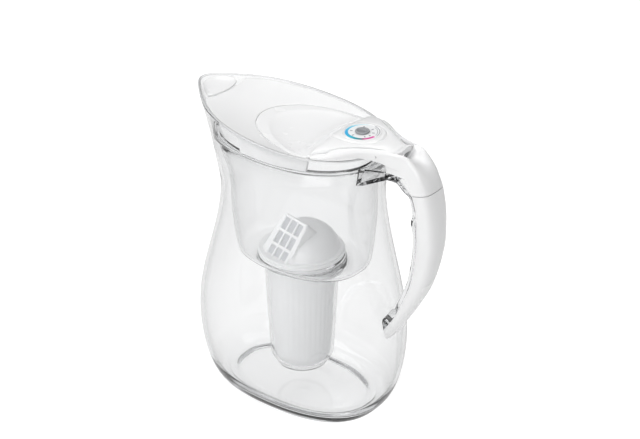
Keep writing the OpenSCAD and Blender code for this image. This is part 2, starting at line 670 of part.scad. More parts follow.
// Stretch of the printed ring between two angles
module arc_band(from, to) dial_place(face_t) difference() {
    ring(arc_out, arc_in, arc_t);
    rotate([0, 0, from]) translate([-30, -60, -1]) cube([60, 60, 3]);
    rotate([0, 0, to + 180]) translate([-30, -60, -1]) cube([60, 60, 3]);
}
module dial_arc_blue() color("deepskyblue") placed() arc_band(132, 260);
module dial_arc_teal() color("teal") placed() arc_band(262, 303);
module dial_arc_magenta() color("mediumvioletred") placed() arc_band(305, 352);
module dial_arc_grey() color("lightgray") placed() arc_band(356, 488);
tick_r = 7.9;
module dial_ticks() color("dimgray") placed() dial_place(face_t)
    for (a = [100:40:340]) rotate([0, 0, a]) translate([tick_r - 0.8, -0.3, 0]) cube([1.6, 0.6, 0.2]);
module dial_knob() color("gray") placed() dial_place(face_t + 0.3) {
    cylinder(h = knob_h - 0.8, r = knob_r);
    cylinder(h = knob_h, r = knob_r - 0.8);
    translate([0, 0, -face_t - 0.3 - stem_low]) cylinder(h = face_t + stem_low + 0.4, r = stem_r);
}
module knob_retainer() color("silver") placed() dial_place(0.2 - stem_low) ring(3.6, stem_r + 0.02, 0.8);

jug();
handle_rail();
handle_shell();
handle_snap_pins();
hopper();
cartridge_cup();
cartridge_cap();
cap_screen();
inlet_pad();
carbon_granules();
middle_pad();
resin_beads();
outlet_screen();
lid_cover();
flip_lid_pin();
spout_flap_pin();
spout_flap();
flip_lid();
dial_seat();
dial_face();
dial_ticks();
dial_arc_blue();
dial_arc_teal();
dial_arc_magenta();
dial_arc_grey();
dial_knob();
knob_retainer();
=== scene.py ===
import bpy
import bmesh
import math
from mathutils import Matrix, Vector


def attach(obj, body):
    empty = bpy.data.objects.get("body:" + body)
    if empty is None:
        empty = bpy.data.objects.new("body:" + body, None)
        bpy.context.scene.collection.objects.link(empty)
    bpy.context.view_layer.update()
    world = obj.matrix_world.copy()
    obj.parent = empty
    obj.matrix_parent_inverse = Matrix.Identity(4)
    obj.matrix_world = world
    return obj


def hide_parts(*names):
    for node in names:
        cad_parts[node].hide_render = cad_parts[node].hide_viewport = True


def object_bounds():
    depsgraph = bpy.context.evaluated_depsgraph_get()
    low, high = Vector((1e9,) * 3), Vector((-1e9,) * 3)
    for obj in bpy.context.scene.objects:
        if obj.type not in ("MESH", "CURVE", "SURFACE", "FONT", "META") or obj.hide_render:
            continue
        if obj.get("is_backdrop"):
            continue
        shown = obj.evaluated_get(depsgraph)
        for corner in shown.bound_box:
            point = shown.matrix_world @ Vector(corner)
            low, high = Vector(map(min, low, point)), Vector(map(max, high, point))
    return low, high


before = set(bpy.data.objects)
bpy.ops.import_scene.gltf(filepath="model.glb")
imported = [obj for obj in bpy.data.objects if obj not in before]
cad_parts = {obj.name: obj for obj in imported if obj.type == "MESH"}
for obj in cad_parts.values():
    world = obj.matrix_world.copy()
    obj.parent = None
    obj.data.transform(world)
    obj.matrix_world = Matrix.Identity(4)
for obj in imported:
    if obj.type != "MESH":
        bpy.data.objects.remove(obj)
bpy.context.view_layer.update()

# The jug is one clear injection-moulded body about 2.4 mm thick: a foot ring round a shallow hollow,
# a full belly, a waist that a hand can close on, and an oval rim that is drawn out into the spout.
# A small ledge inside the rim carries the hopper.
AXIS_X = -14.25
JUG_WALL = 2.4
# Half length and half width
FOOT = (62.0, 39.5)
RECESS = (54.0, 32.0)
RECESS_H = 2.5
# Reach towards the spout, reach towards the handle, half width
BELLY = (82.0, 82.0, 56.0)
WAIST = (57.5, 60.5, 50.0)
RIM = (82.0, 69.0, 47.25)
BELLY_Z, WAIST_Z, RIM_Z = 59.0, 174.0, 218.4
# Exponents of the oval sections: 2 is an ellipse, more is squarer
FOOT_OVAL, BELLY_OVAL, RIM_OVAL = 2.4, 2.45, 2.1
# In front of RISE_FROM the rim rises towards the spout, by a slope and a curve
RISE_FROM, RISE_SLOPE, RISE_CURVE = 42, 0.0465, 0.000317
# Height of the spout's root over the waist, its pull forwards and its half width
SPOUT_START, SPOUT_PULL, SPOUT_HALF = 8, 10.0, 16.0
LEDGE_Z, LEDGE_W = 206.0, 2.0
JUG_STEPS = 192


def unit(t):
    return min(max(t, 0.0), 1.0)


def ease(t):
    t = unit(t)
    return t * t * (3 - 2 * t)


def mix(a, b, t):
    return a + (b - a) * t


def signed_power(v, e):
    return math.copysign(abs(v) ** e, v)


def oval(angle, e):
    return (signed_power(math.cos(angle), 2 / e), signed_power(math.sin(angle), 2 / e))


def oval_reach(across, reach, half, e):
    """Reach of an oval at a distance across from its middle line."""
    return reach * (1 - unit(abs(across) / half) ** e) ** (1 / e)


def place(p):
    """Millimetres about the jug's axis, to metres in the row frame."""
    return ((p[0] + AXIS_X) / 1000, p[1] / 1000, p[2] / 1000)


def jug_size(z, k):
    """Reach of the jug at height z, for k as in BELLY, WAIST and RIM."""
    foot = FOOT[0] if k < 2 else FOOT[1]
    if z < BELLY_Z:
        return mix(foot, BELLY[k], math.sqrt(1 - (1 - unit(z / BELLY_Z)) ** 2))
    if z < WAIST_Z:
        return mix(BELLY[k], WAIST[k], ease((z - BELLY_Z) / (WAIST_Z - BELLY_Z)))
    return mix(WAIST[k], RIM[k], unit((z - WAIST_Z) / (RIM_Z - WAIST_Z)) ** 1.25)


def jug_round(z):
    return mix(BELLY_OVAL, RIM_OVAL, ease((z - WAIST_Z) / (RIM_Z - WAIST_Z)))


def rim_lift(x):
    d = max(RISE_FROM - x, 0)
    return RISE_SLOPE * d + RISE_CURVE * d * d


def rim_share(z):
    return unit((z - WAIST_Z) / (RIM_Z - WAIST_Z)) ** 2


def jug_point(angle, z, inset):
    ox, oy = oval(angle, jug_round(z))
    front = ox < 0
    y = oy * (jug_size(z, 2) - inset)
    x = ox * (jug_size(z, 0 if front else 1) - inset)
    if front:
        drawn = ease((z - WAIST_Z - SPOUT_START) / (RIM_Z - WAIST_Z - SPOUT_START))
        x -= SPOUT_PULL * drawn * math.exp(-(y / SPOUT_HALF) ** 2)
    return (x, y, z + rim_lift(x) * rim_share(z))


def turn(steps):
    return [2 * math.pi * i / steps for i in range(steps)]


def jug_ring(z, inset):
    return [jug_point(a, z, inset) for a in turn(JUG_STEPS)]


def level_ring(z, inset):
    """Ring of the jug's inside at one true height, although the rim rises towards the spout."""
    ring = []
    for a in turn(JUG_STEPS):
        before = z
        for _ in range(8):
            before = z - rim_lift(jug_point(a, before, 0)[0]) * rim_share(before)
        p = jug_point(a, before, inset)
        ring.append((p[0], p[1], z))
    return ring


def foot_oval(size, z, out=0.0):
    """Level oval of the foot's shape, out wider all round than size."""
    shape = [oval(a, FOOT_OVAL) for a in turn(JUG_STEPS)]
    return [(x * (size[0] + out), y * (size[1] + out), z) for x, y in shape]


def skin(rings, loop=False):
    """Points and faces of a skin over rings with equal numbers of points, closed by its two end rings or, as
    a loop, by joining the last ring to the first."""
    n, m = len(rings[0]), len(rings)
    points = [p for ring in rings for p in ring]
    faces = []
    for i in range(m if loop else m - 1):
        for j in range(n):
            k, l = (i + 1) % m, (j + 1) % n
            faces.append((i * n + j, i * n + l, k * n + l, k * n + j))
    if not loop:
        faces.append(tuple(range(n))[::-1])
        faces.append(tuple((m - 1) * n + j for j in range(n)))
    return points, faces


def body(name, parts, material, sharp=32, second=None, where=None):
    """One mesh object from several (points, faces) lists in millimetres about the jug's axis; faces whose
    middle meets where take the second material."""
    bm = bmesh.new()
    for points, faces in parts:
        made = [bm.verts.new(place(p)) for p in points]
        for f in faces:
            bm.faces.new([made[i] for i in f])
        bmesh.ops.remove_doubles(bm, verts=made, dist=1e-6)
    bmesh.ops.recalc_face_normals(bm, faces=bm.faces)
    mesh = bpy.data.meshes.new(name)
    bm.to_mesh(mesh)
    bm.free()
    mesh.materials.append(material)
    if second is not None:
        mesh.materials.append(second)
        for face in mesh.polygons:
            x, y, z = (1000 * c for c in face.center)
            face.material_index = int(where(x - AXIS_X, y, z))
    mesh.shade_smooth()
    mesh.set_sharp_from_angle(angle=math.radians(sharp))
    piece = bpy.data.objects.new(name, mesh)
    bpy.context.scene.collection.objects.link(piece)
    return piece


def new_material(name):
    """Material with an empty node tree and its output."""
    material = bpy.data.materials.new(name)
    material.use_nodes = True
    tree = material.node_tree
    tree.nodes.clear()
    return material, tree, add(tree, "OutputMaterial")


def add(tree, kind, **settings):
    """New shader node. A setting names an input, with _ for a space, or else a property of the node."""
    node = tree.nodes.new("ShaderNode" + kind)
    for key, value in settings.items():
        socket = key.replace("_", " ")
        if socket in node.inputs:
            node.inputs[socket].default_value = value
        else:
            setattr(node, key, value)
    return node


def link(tree, source, output, target, socket):
    tree.links.new(source.outputs[output], target.inputs[socket])


def ramp(tree, source, output, stops):
    """Colour ramp over a node's output."""
    node = add(tree, "ValToRGB")
    elements = node.color_ramp.elements
    while len(elements) < len(stops):
        elements.new(0.5)
    for element, (at, colour) in zip(elements, stops):
        element.position = at
        element.color = (*colour, 1)
    link(tree, source, output, node, "Fac")
    return node


def noise(tree, scale, detail):
    """Noise that is fixed to the object."""
    space = add(tree, "TexCoord")
    node = add(tree, "TexNoise", Scale=scale, Detail=detail)
    link(tree, space, "Object", node, "Vector")
    return node


def roughen(tree, source, output, surface, strength, depth, **settings):
    """Bump on a surface from a node's output, its depth in millimetres."""
    bump = add(tree, "Bump", Strength=strength, Distance=depth / 1000, **settings)
    link(tree, source, output, bump, "Height")
    link(tree, bump, "Normal", surface, "Normal")


def choose(tree, source, output, first, second):
    """The first shader where a node's output is 0, the second where it is 1."""
    node = add(tree, "MixShader")
    link(tree, source, output, node, 0)
    link(tree, first, 0, node, 1)
    link(tree, second, 0, node, 2)
    return node


def either_ray(tree, path, first, second):
    """1 for rays of either kind."""
    node = add(tree, "Math", operation="MAXIMUM")
    link(tree, path, first, node, 0)
    link(tree, path, second, node, 1)
    return node


def clear_plastic(name, density, edge):
    """Polished clear plastic with a faint moulding ripple. Light is lost in the wall by absorption, and a
    painted shade greys its outlines, where edge is the grey of that painted shade; shadow and diffuse rays
    pass through."""
    material, tree, out = new_material(name)
    glass = add(tree, "BsdfPrincipled", IOR=1.36, Roughness=0.018, Transmission_Weight=1.0)
    roughen(tree, noise(tree, 38.0, 2.0), "Fac", glass, 0.25, 0.012)
    # Painted shade: the base colour turns from clear to the edge grey where the surface is seen edge-on
    face_on, outline_shade = (0.985, 0.986, 0.987), (edge, edge + 0.005, edge + 0.01)
    stops = [(at, tuple(mix(a, b, share) for a, b in zip(face_on, outline_shade)))
             for at, share in ((0.14, 0), (0.36, 0.22), (0.54, 0.55), (0.72, 1))]
    facing = add(tree, "LayerWeight", Blend=0.22)
    link(tree, ramp(tree, facing, "Facing", stops), "Color", glass, "Base Color")
    passing = add(tree, "BsdfTransparent", Color=(0.994, 0.995, 0.996, 1))
    lighting = either_ray(tree, add(tree, "LightPath"), "Is Shadow Ray", "Is Diffuse Ray")
    link(tree, choose(tree, lighting, 0, glass, passing), 0, out, "Surface")
    dim = add(tree, "VolumeAbsorption", Color=(0.66, 0.675, 0.685, 1), Density=density)
    link(tree, dim, 0, out, "Volume")
    return material


jug_plastic = clear_plastic("jug_plastic", 24, 0.32)
# Share of the hollow's size and height over its roof; then (wider than the hollow, height) down its side
RECESS_ROOF = ((0.02, 0.3), (0.5, 0.3), (0.54, 0.02), (0.88, 0.0), (0.94, -0.15))
RECESS_SIDE = ((-0.9, 1.8), (0.4, 1.1), (1.8, 0.45), (3.4, 0.0))
# (inset, height) up the foot's round edge, (inset, drop) over the lip, (rise, width) round the ledge
FOOT_EDGE = ((1.5, 0.0), (0.75, 0.25), (0.25, 0.8))
LIP = [(0.9, 0.0), (0.45, 0.16), (0.1, 0.5), (0.0, 1.0)]
LEDGE = ((0, 0), (0, LEDGE_W - 0.4), (-0.4, LEDGE_W), (-1.4, LEDGE_W), (-7, 0))
# (height, inset) down into the bottom's inner corner, then ovals over the jug's floor
CORNER = ((15, 0.3), (12, 1.0), (9.6, 2.2), (7.8, 4.0))
FLOOR = (((56.5, 35.0), 6.2), ((53, 32), 5.6), ((40, 24), 5.5), ((1, 0.6), 5.5))
heights = [2.6, 4, 6, 8.5, 11.5] + [15 + 3.6 * i for i in range(44)] + [176 + 3.1 * i for i in range(14)]
rings = [foot_oval((RECESS[0] * k, RECESS[1] * k), RECESS_H + up) for k, up in RECESS_ROOF]
rings += [foot_oval(RECESS, z, out) for out, z in RECESS_SIDE]
rings += [foot_oval(FOOT, z, -inset) for inset, z in FOOT_EDGE]
rings += [jug_ring(z, 0) for z in [1.6] + heights]
rings += [jug_ring(RIM_Z - drop, inset) for inset, drop in LIP[::-1]]
rings += [jug_ring(RIM_Z - drop, JUG_WALL - inset) for inset, drop in LIP]
rings += [jug_ring(z, JUG_WALL) for z in (215.6, 213.4, 211.4)]
rings += [level_ring(LEDGE_Z + up, JUG_WALL + width) for up, width in LEDGE]
rings += [jug_ring(z, JUG_WALL) for z in heights[::-1] if 18 < z < 193]
rings += [jug_ring(z, JUG_WALL + inset) for z, inset in CORNER]
rings += [foot_oval(size, z) for size, z in FLOOR]

# The rim's upper edge is painted grey and made less clear than the wall, a painted shade for the light and
# shade seen through the wall edge-on, so it shows as a thin line round the jug.
SHADED_RIM = 0.95
rim_painted_shade, tree, out = new_material("jug_rim_painted_shade")
shaded_rim_surface = add(tree, "BsdfPrincipled", IOR=1.4, Roughness=0.12, Transmission_Weight=0.3)
# Painted shade: the grey of the rim's top stands in for light and shade seen through the wall edge-on
tone = ramp(tree, noise(tree, 60.0, 2.0), "Fac", [(0.3, (0.72, 0.725, 0.73)), (0.7, (0.78, 0.785, 0.79))])
link(tree, tone, "Color", shaded_rim_surface, "Base Color")
link(tree, shaded_rim_surface, 0, out, "Surface")
jug = body("jug_shell", [skin(rings)], jug_plastic, sharp=50, second=rim_painted_shade,
           where=lambda x, y, z: z > RIM_Z + rim_lift(x) - SHADED_RIM)
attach(jug, "pitcher")
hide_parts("jug")

# The grip is a clear rail whose flat strip lines the inside of the hand, with a white shell snapped over
# its back. At the top a clear tongue carries it from the jug's wall; its foot is welded to the belly.
# Down the grip: x, height, pitch in degrees, half width and depth
GRIP = [
    (116.2, 202.8, 74.5, 11.6, 17), (118.7, 192, 80, 11.4, 16.3), (120.0, 182, 86, 11, 16.6),
    (120.5, 172, 89.5, 10.5, 17.2), (120.5, 160.9, 93, 10, 17.2), (118.6, 148.2, 100, 9.4, 16.4),
    (115.4, 134.7, 107, 8.9, 15.4), (110.6, 121.1, 114, 8.5, 14), (103.3, 106.8, 118.5, 8.2, 12.6),
    (95.1, 92.6, 121, 8, 12.4), (87.5, 80.6, 124, 7.8, 13), (81.5, 72.6, 127, 7.6, 14.4),
]
STRIP = 3.0
SHELL = 2.2


def strip_at(z):
    return STRIP + 3.2 * ease((112 - z) / 34)


def through(rows, steps):
    """Smooth run of rows through the given ones."""
    out = []
    for i in range(len(rows) - 1):
        a, b, c, d = (rows[min(max(i + k, 0), len(rows) - 1)] for k in (-1, 0, 1, 2))
        for step in range(steps):
            t = step / steps
            out.append(tuple(
                0.5 * (2 * q + (r - p) * t + (2 * p - 5 * q + 4 * r - u) * t * t
                       + (3 * q - p - 3 * r + u) * t ** 3)
                for p, q, r, u in zip(a, b, c, d)))
    return out + [tuple(rows[-1])]


def lay(section, x, z, pitch):
    s, c = math.sin(math.radians(pitch)), math.cos(math.radians(pitch))
    return [(x + q[1] * s, q[0], z + q[1] * c) for q in section]


def shell_section(w, depth):
    arc = [math.pi * i / 40 for i in range(41)]
    top = [(w * oval(a, 2.8)[0], -7 + 7 * oval(a, 2.8)[1]) for a in arc]
    low = [((w - SHELL) * oval(a, 2.8)[0], -7 + (7 - SHELL) * oval(a, 2.8)[1]) for a in arc]
    foot = -depth
    return ([(w - 0.3, foot), (w, foot + 0.4)] + top + [(-w, foot + 0.4), (-w + 0.3, foot), (SHELL - w, foot)]
            + low[::-1] + [(w - SHELL, foot)])


def rail_section(w, t, strip):
    """Strip with rounded edges, and the rib that reaches into the shell."""
    base = [(w - 0.9, -t), (w - 0.3, -t + 0.25), (w, -t + 0.9), (w, -t + strip - 0.5), (w - 0.4, -t + strip)]
    rib = [(4.0, -t + strip + 0.2), (3.7, -4.2), (3.2, -3.6)]
    right = base + rib
    return right + [(-x, y) for x, y in right[::-1]]


def white_plastic(name, colour=(0.86, 0.862, 0.865), rough=(0.2, 0.3), grain=0.006):
    """Glossy moulded plastic with a faint flow pattern and a very fine skin."""
    material, tree, out = new_material(name)
    paint = add(tree, "BsdfPrincipled", IOR=1.5, Coat_Weight=0.25, Coat_Roughness=0.12,
                Subsurface_Weight=0.08, Subsurface_Radius=(0.004, 0.004, 0.004))
    flow = noise(tree, 22.0, 3.0)
    tone = ramp(tree, flow, "Fac", [(0.3, tuple(0.975 * c for c in colour)), (0.7, colour)])
    link(tree, tone, "Color", paint, "Base Color")
    sheen = ramp(tree, flow, "Fac", [(0.3, (rough[0],) * 3), (0.75, (rough[1],) * 3)])
    link(tree, sheen, "Color", paint, "Roughness")
    roughen(tree, noise(tree, 2600.0, 2.0), "Fac", paint, 0.3, grain)
    link(tree, paint, 0, out, "Surface")
    return material


white = white_plastic("white_plastic")
rail_plastic = clear_plastic("rail_plastic", 18, 0.5)
# Under this height the grip may meet the belly
BELLY_TOP = 130


def behind_wall(points, gap):
    """Moves points that would lie inside the jug's belly out to gap beyond its wall."""
    moved = []
    for x, y, z in points:
        if z < BELLY_TOP:
            x = max(x, oval_reach(y, jug_size(z, 1) + gap, jug_size(z, 2) + gap, jug_round(z)))
        moved.append((x, y, z))
    return moved


rings = []
for x, z, pitch, half, depth in through(GRIP, 6):
    rings.append(behind_wall(lay(shell_section(half, depth - strip_at(z) - 0.2), x, z, pitch), 0.25))
shell = body("grip_shell", [skin(rings)], white, sharp=60)
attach(shell, "pitcher")
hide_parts("handle_shell")

# The rail's arch from the tongue to the grip, and the bump that keeps the hand from sliding up
ARCH = [(80, 210, 4, 10.6, 5.8), (88.4, 209.5, 14, 10.6, 5), (94.6, 207, 40, 10.6, 5)]
BUMP_Z, BUMP_HIGH, BUMP_LONG, BUMP_HALF = 179.0, 3.0, 5.5, 12
run = [(*row, row[4] - 1) for row in ARCH]
run += [(x, z, pitch, half - 0.3, depth, strip_at(z)) for x, z, pitch, half, depth in GRIP]
rings = []
for x, z, pitch, half, depth, strip in through(run, 6):
    swell = BUMP_HIGH * math.exp(-((z - BUMP_Z) / BUMP_LONG) ** 2) if x > 100 else 0
    section = []
    for across, deep in rail_section(half, depth, strip):
        raised = swell * math.sqrt(max(1 - (across / BUMP_HALF) ** 2, 0)) if deep < 1 - depth else 0
        section.append((across, deep - raised))
    rings.append(behind_wall(lay(section, x, z, pitch), -1.1))
rail = skin(rings)

# The tongue's back as (x, half width), its half widths along the jug's wall, and its lowest and top height;
# its underside climbs from the wall
BRACKET_BACK = [(66.5, 17.4), (74, 13.6), (81, 10.6), (85, 6), (86, 0)]
BRACKET_FRONT = [(17,), (13,), (9,), (4.5,), (0,)]
BRACKET_LOW, BRACKET_TOP = 196.5, 209.8
BRACKET_X, BRACKET_LONG, BRACKET_HALF, BRACKET_CLIMB = 62, 24, 17.4, 0.42


def wall_x(y, z):
    """x of the middle of the jug's wall on the handle side."""
    middle = JUG_WALL / 2
    return oval_reach(y, jug_size(z, 1) - middle, jug_size(z, 2) - middle, jug_round(z))


def bracket_ring(rise, inset):
    """Level ring of the tongue: from its middle on the wall round its back."""
    narrow = 1 - inset / BRACKET_HALF
    half = []
    for (y,) in through(BRACKET_FRONT, 5)[::-1]:
        y *= narrow
        wall = wall_x(y, mix(BRACKET_LOW, BRACKET_TOP, rise)) + inset
        half.append((wall, y, mix(BRACKET_LOW + inset, BRACKET_TOP, rise)))
    for x, y in through(BRACKET_BACK, 5):
        low = BRACKET_LOW + (x - BRACKET_X) * BRACKET_CLIMB + inset
        half.append((x - inset * (x - BRACKET_X) / BRACKET_LONG, y * narrow, mix(low, BRACKET_TOP, rise)))
    return half + [(x, -y, z) for x, y, z in half[-2:0:-1]]


outside = [bracket_ring(rise, 0) for rise in (0.0, 0.05, 0.3, 0.6, 0.97, 1.0)]
hollow = [bracket_ring(rise, JUG_WALL) for rise in (1.0, 0.5, 0.1, 0.0)]
grip_rail = body("grip_rail", [rail, skin(outside + hollow)], rail_plastic, sharp=40)
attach(grip_rail, "pitcher")
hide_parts("handle_rail")


def refinish(node_name, material):
    """Gives a CAD node that keeps its shape its real finish."""
    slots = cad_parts[node_name].data.materials
    slots.clear()
    slots.append(material)


refinish("handle_snap_pins", white)

# The hopper is a clear cup that hangs by its flange on the jug's ledge. Its front is held back from the
# spout so that water can pour out, and a deep tapered well in its floor takes the filter.
HOPPER_WALL, HOPPER_GAP, HOPPER_FRONT = 1.8, 0.6, 66
FLOOR_Z, SEAT_Z = 115.0, 116.5
WELL_BOTTOM, WELL_CORNER, DRAIN_R = 21.7, 9.0, 7.0
WELL_TOP_R, WELL_LOW_R = 27.4, 23.7
# Reach towards the spout and the handle and half width at the waist; the rows down the wall are its height
# and what is added to these three, and the floor is drawn in by FLOOR_IN
THROAT = (53.1, 56.1, 43.17)
HOPPER_ROWS = [(198, 7, 4.6, -0.6), (188, 3, 1.6, 0), (174, 0, 0, 0), (152, -1.4, 0, -0.2),
               (132, -2.2, -1, -3.2), (120, -3.4, -2, -5.8)]
FLOOR_IN = (3, 1.8, 5.4)
HOPPER_OVAL = 2.3


def hopper_ring(z, added, inset):
    front, back, half = (size + more - inset for size, more in zip(THROAT, added))
    shape = [oval(a, HOPPER_OVAL) for a in turn(JUG_STEPS)]
    return [(ox * (front if ox < 0 else back), oy * half, z) for ox, oy in shape]


def hopper_wall(inset):
    return [hopper_ring(z, added, inset) for z, *added in through(HOPPER_ROWS, 6)]


def floor_rings(inset, *rows):
    """Rings of the floor's round corner, as (height, distance in from the wall)."""
    return [hopper_ring(z, [-edge - more for more in FLOOR_IN], inset) for z, edge in rows]


def seat_rings(*rows):
    """Rings of the flange, as (height, inset)."""
    rings = []
    for z, inset in rows:
        ring = level_ring(LEDGE_Z, JUG_WALL + HOPPER_GAP + inset)
        rings.append([(max(x, inset - HOPPER_FRONT), y, z) for x, y, _ in ring])
    return rings


def circles(*rows, steps=JUG_STEPS):
    return [[(r * math.cos(a), r * math.sin(a), z) for a in turn(steps)] for r, z in rows]


def well_side(r0, r1, z0, z1, shares):
    return circles(*((mix(r0, r1, t), mix(z0, z1, t)) for t in shares))


top_r, low_r = WELL_TOP_R - HOPPER_WALL, WELL_LOW_R - HOPPER_WALL
well_turn = WELL_BOTTOM + WELL_CORNER
inside = seat_rings((LEDGE_Z + 2, LEDGE_W + 2), (LEDGE_Z + 1.4, LEDGE_W + 2.3), (203.5, LEDGE_W + 4))
inside += hopper_wall(HOPPER_WALL)
inside += floor_rings(HOPPER_WALL, (117.6, 1.2), (116, 2.6), (115.2, 4.6))
inside += circles((32.2, FLOOR_Z), (31.7, FLOOR_Z + 0.3), (31.3, SEAT_Z), (26.2, SEAT_Z), (top_r, SEAT_Z - 1),
                  (top_r, SEAT_Z - 6))
inside += well_side(top_r, low_r, SEAT_Z - 6, well_turn, (0.25, 0.5, 0.75, 1.0))
inside += circles((low_r - 0.8, WELL_BOTTOM + 6.8), (WELL_LOW_R - 6.3, WELL_BOTTOM + 2.2),
                  (WELL_LOW_R - 8, WELL_BOTTOM + HOPPER_WALL), (DRAIN_R + 0.3, WELL_BOTTOM + HOPPER_WALL))
outside = circles((DRAIN_R, WELL_BOTTOM + 1.4), (DRAIN_R, WELL_BOTTOM + 0.3), (DRAIN_R + 0.3, WELL_BOTTOM),
                  (WELL_LOW_R - 6, WELL_BOTTOM), (WELL_LOW_R - 4.4, WELL_BOTTOM + 0.5),
                  (WELL_LOW_R - 0.7, WELL_BOTTOM + 7.2))
outside += well_side(WELL_LOW_R, WELL_TOP_R, well_turn, SEAT_Z - 9, (0.0, 0.25, 0.5, 0.75, 1.0))
outside += circles((WELL_TOP_R + 0.4, 111.4), (31.3, 111.2), (31.5, 111.5), (31.6, 112.9),
                   (32.2, FLOOR_Z - HOPPER_WALL))
outside += floor_rings(0, (113.2, 7.6), (113.6, 5.2), (114.6, 3.2), (116.6, 1.2))
outside += hopper_wall(0)[::-1]
outside += seat_rings((203.5, LEDGE_W + 3), (LEDGE_Z - 0.2, LEDGE_W + 0.6), (LEDGE_Z, LEDGE_W + 0.2),
                      (LEDGE_Z, 0.4), (LEDGE_Z + 0.3, 0), (LEDGE_Z + 1.7, 0), (LEDGE_Z + 2, 0.4))
hopper_plastic = clear_plastic("hopper_plastic", 22, 0.42)
hopper = body("hopper_cup", [skin(inside + outside, loop=True)], hopper_plastic, sharp=50)
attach(hopper, "hopper")
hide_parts("hopper")

# The drop-in filter stands in the well: a tapered white cup with a flange, and a welded cap whose slanted
# inlet has three rows of three windows over a fine grey screen. Its filling is granular carbon over resin.
CARTRIDGE_R, FLANGE_T = 31.5, 2.4
FLANGE_TOP = SEAT_Z + FLANGE_T
CUP_STEPS, FLUTES, FLUTE_DEEP = 144, 36, 0.12
# Radius, height and share of the flutes' depth
CUP = [
    (6.2, 26.0, 0), (6, 25.7, 0), (6, 24.8, 0), (6.3, 24.5, 0), (16.4, 24.5, 0), (17.6, 24.9, 0),
    (20.6, 31.0, 0), (21.2, 33.0, 0), (21.5, 36.0, 1), (22.4, 60, 1), (23.4, 85, 1), (24.5, 106, 1),
    (24.9, 109.6, 0), (25, 112, 0), (25, 115.9, 0), (25.5, SEAT_Z, 0), (CARTRIDGE_R - 0.5, SEAT_Z, 0),
    (CARTRIDGE_R, SEAT_Z + 0.5, 0), (CARTRIDGE_R, FLANGE_TOP - 0.5, 0), (CARTRIDGE_R - 0.5, FLANGE_TOP, 0),
    (23.8, FLANGE_TOP, 0), (23.5, FLANGE_TOP - 0.5, 0), (23.5, 110.5, 0), (19.9, 33.4, 0), (16.9, 26.0, 0),
]
rings = []
for r, z, share in CUP:
    ring = []
    for a in turn(CUP_STEPS):
        fluted = r + FLUTE_DEEP * share * math.cos(FLUTES * a)
        ring.append((fluted * math.cos(a), fluted * math.sin(a), z))
    rings.append(ring)
cup_white = white_plastic("cartridge_white", (0.95, 0.952, 0.955), (0.32, 0.42), 0.01)
cup = body("cartridge_cup_shell", [skin(rings, loop=True)], cup_white, sharp=40)
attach(cup, "cartridge")
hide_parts("cartridge_cup")

# The inlet is turned a little about the cap's axis; its lowest point is right of the middle, in front and
# just under the flange's top. u runs across it, v up it and w out of it.
RAMP_TURN = math.radians(-12)
RAMP_SLOPE = math.radians(52)
RAMP_LOW = (1.7, -27.9, -0.7)
CAP_H, DOME_R, CAP_EDGE = 26.0, 27.5, 1.6
CAP_STEPS = 160
INLET_HALF, INLET_LONG, INLET_DEEP = 10.9, 34.6, 4.0


def on_ramp(u, v, w):
    """Point at u across, v up and w out of the slanted inlet."""
    x = RAMP_LOW[0] + u
    y = RAMP_LOW[1] + v * math.cos(RAMP_SLOPE) - w * math.sin(RAMP_SLOPE)
    z = RAMP_LOW[2] + v * math.sin(RAMP_SLOPE) + w * math.cos(RAMP_SLOPE)
    c, s = math.cos(RAMP_TURN), math.sin(RAMP_TURN)
    return (x * c - y * s, x * s + y * c, FLANGE_TOP + z)


def cap_height(x, y):
    """The cap's crown: a tower with a steep left side that rounds down to a smooth lobe on the right, cut
    slanting in front by the inlet, whose floor lies below its bars."""
    c, s = math.cos(RAMP_TURN), math.sin(RAMP_TURN)
    u = x * c + y * s - RAMP_LOW[0]
    along = y * c - x * s
    v = (along - RAMP_LOW[1]) / math.cos(RAMP_SLOPE)
    r = math.hypot(x, y) / DOME_R
    lobe = 2.4 + 17.0 * max(1 - r ** 2.6, 0) ** 0.62 * ease((u + 17.5) / 6)
    tower = (CAP_H + 0.9 - 1.1 * max(along + 6.2, 0)) * ease((u + 17.0) / 5) * ease((16.5 - u) / 4.5)
    dome = max(min(tower, CAP_H - 0.2), lobe)
    inlet = RAMP_LOW[2] + (along - RAMP_LOW[1]) * math.tan(RAMP_SLOPE)
    inside = abs(u) < INLET_HALF and 0.7 < v < INLET_LONG
    cut = inlet - INLET_DEEP if inside else inlet + 0.1 + 0.5 * max(u - 13, 0)
    soft = 0.9
    h = unit(0.5 + 0.5 * (cut - dome) / soft)
    return max(mix(dome, cut, 1 - h) - soft * h * (1 - h) * (0 if inside else 1), 0.0)


# Radius and height over the flange, from under the cap up to the crown's root
PLATE = ((8.0, 0.0), (30.2, 0.0), (30.5, 0.3), (30.5, 1.3), (30.2, CAP_EDGE), (DOME_R + 0.3, CAP_EDGE))
rings = circles(*((r, FLANGE_TOP + z) for r, z in PLATE), steps=CAP_STEPS)
for k in range(48):
    ring = circles((DOME_R * (1 - (k / 48) ** 0.8), 0), steps=CAP_STEPS)[0]
    rings.append([(x, y, FLANGE_TOP + CAP_EDGE + max(cap_height(x, y) - CAP_EDGE, 0)) for x, y, _ in ring])
cap_body = skin(rings)


def bar(u0, u1, v0, v1, high):
    """Straight bar of the inlet's frame with softened top edges."""
    low, soft = -2.2, 0.35
    outline = [(u0, v0), (u1, v0), (u1, v1), (u0, v1)]
    inner = [(u0 + soft, v0 + soft), (u1 - soft, v0 + soft), (u1 - soft, v1 - soft), (u0 + soft, v1 - soft)]
    return skin([[on_ramp(u, v, w) for u, v in row]
                 for row, w in ((outline, low), (outline, high - soft), (inner, high))])


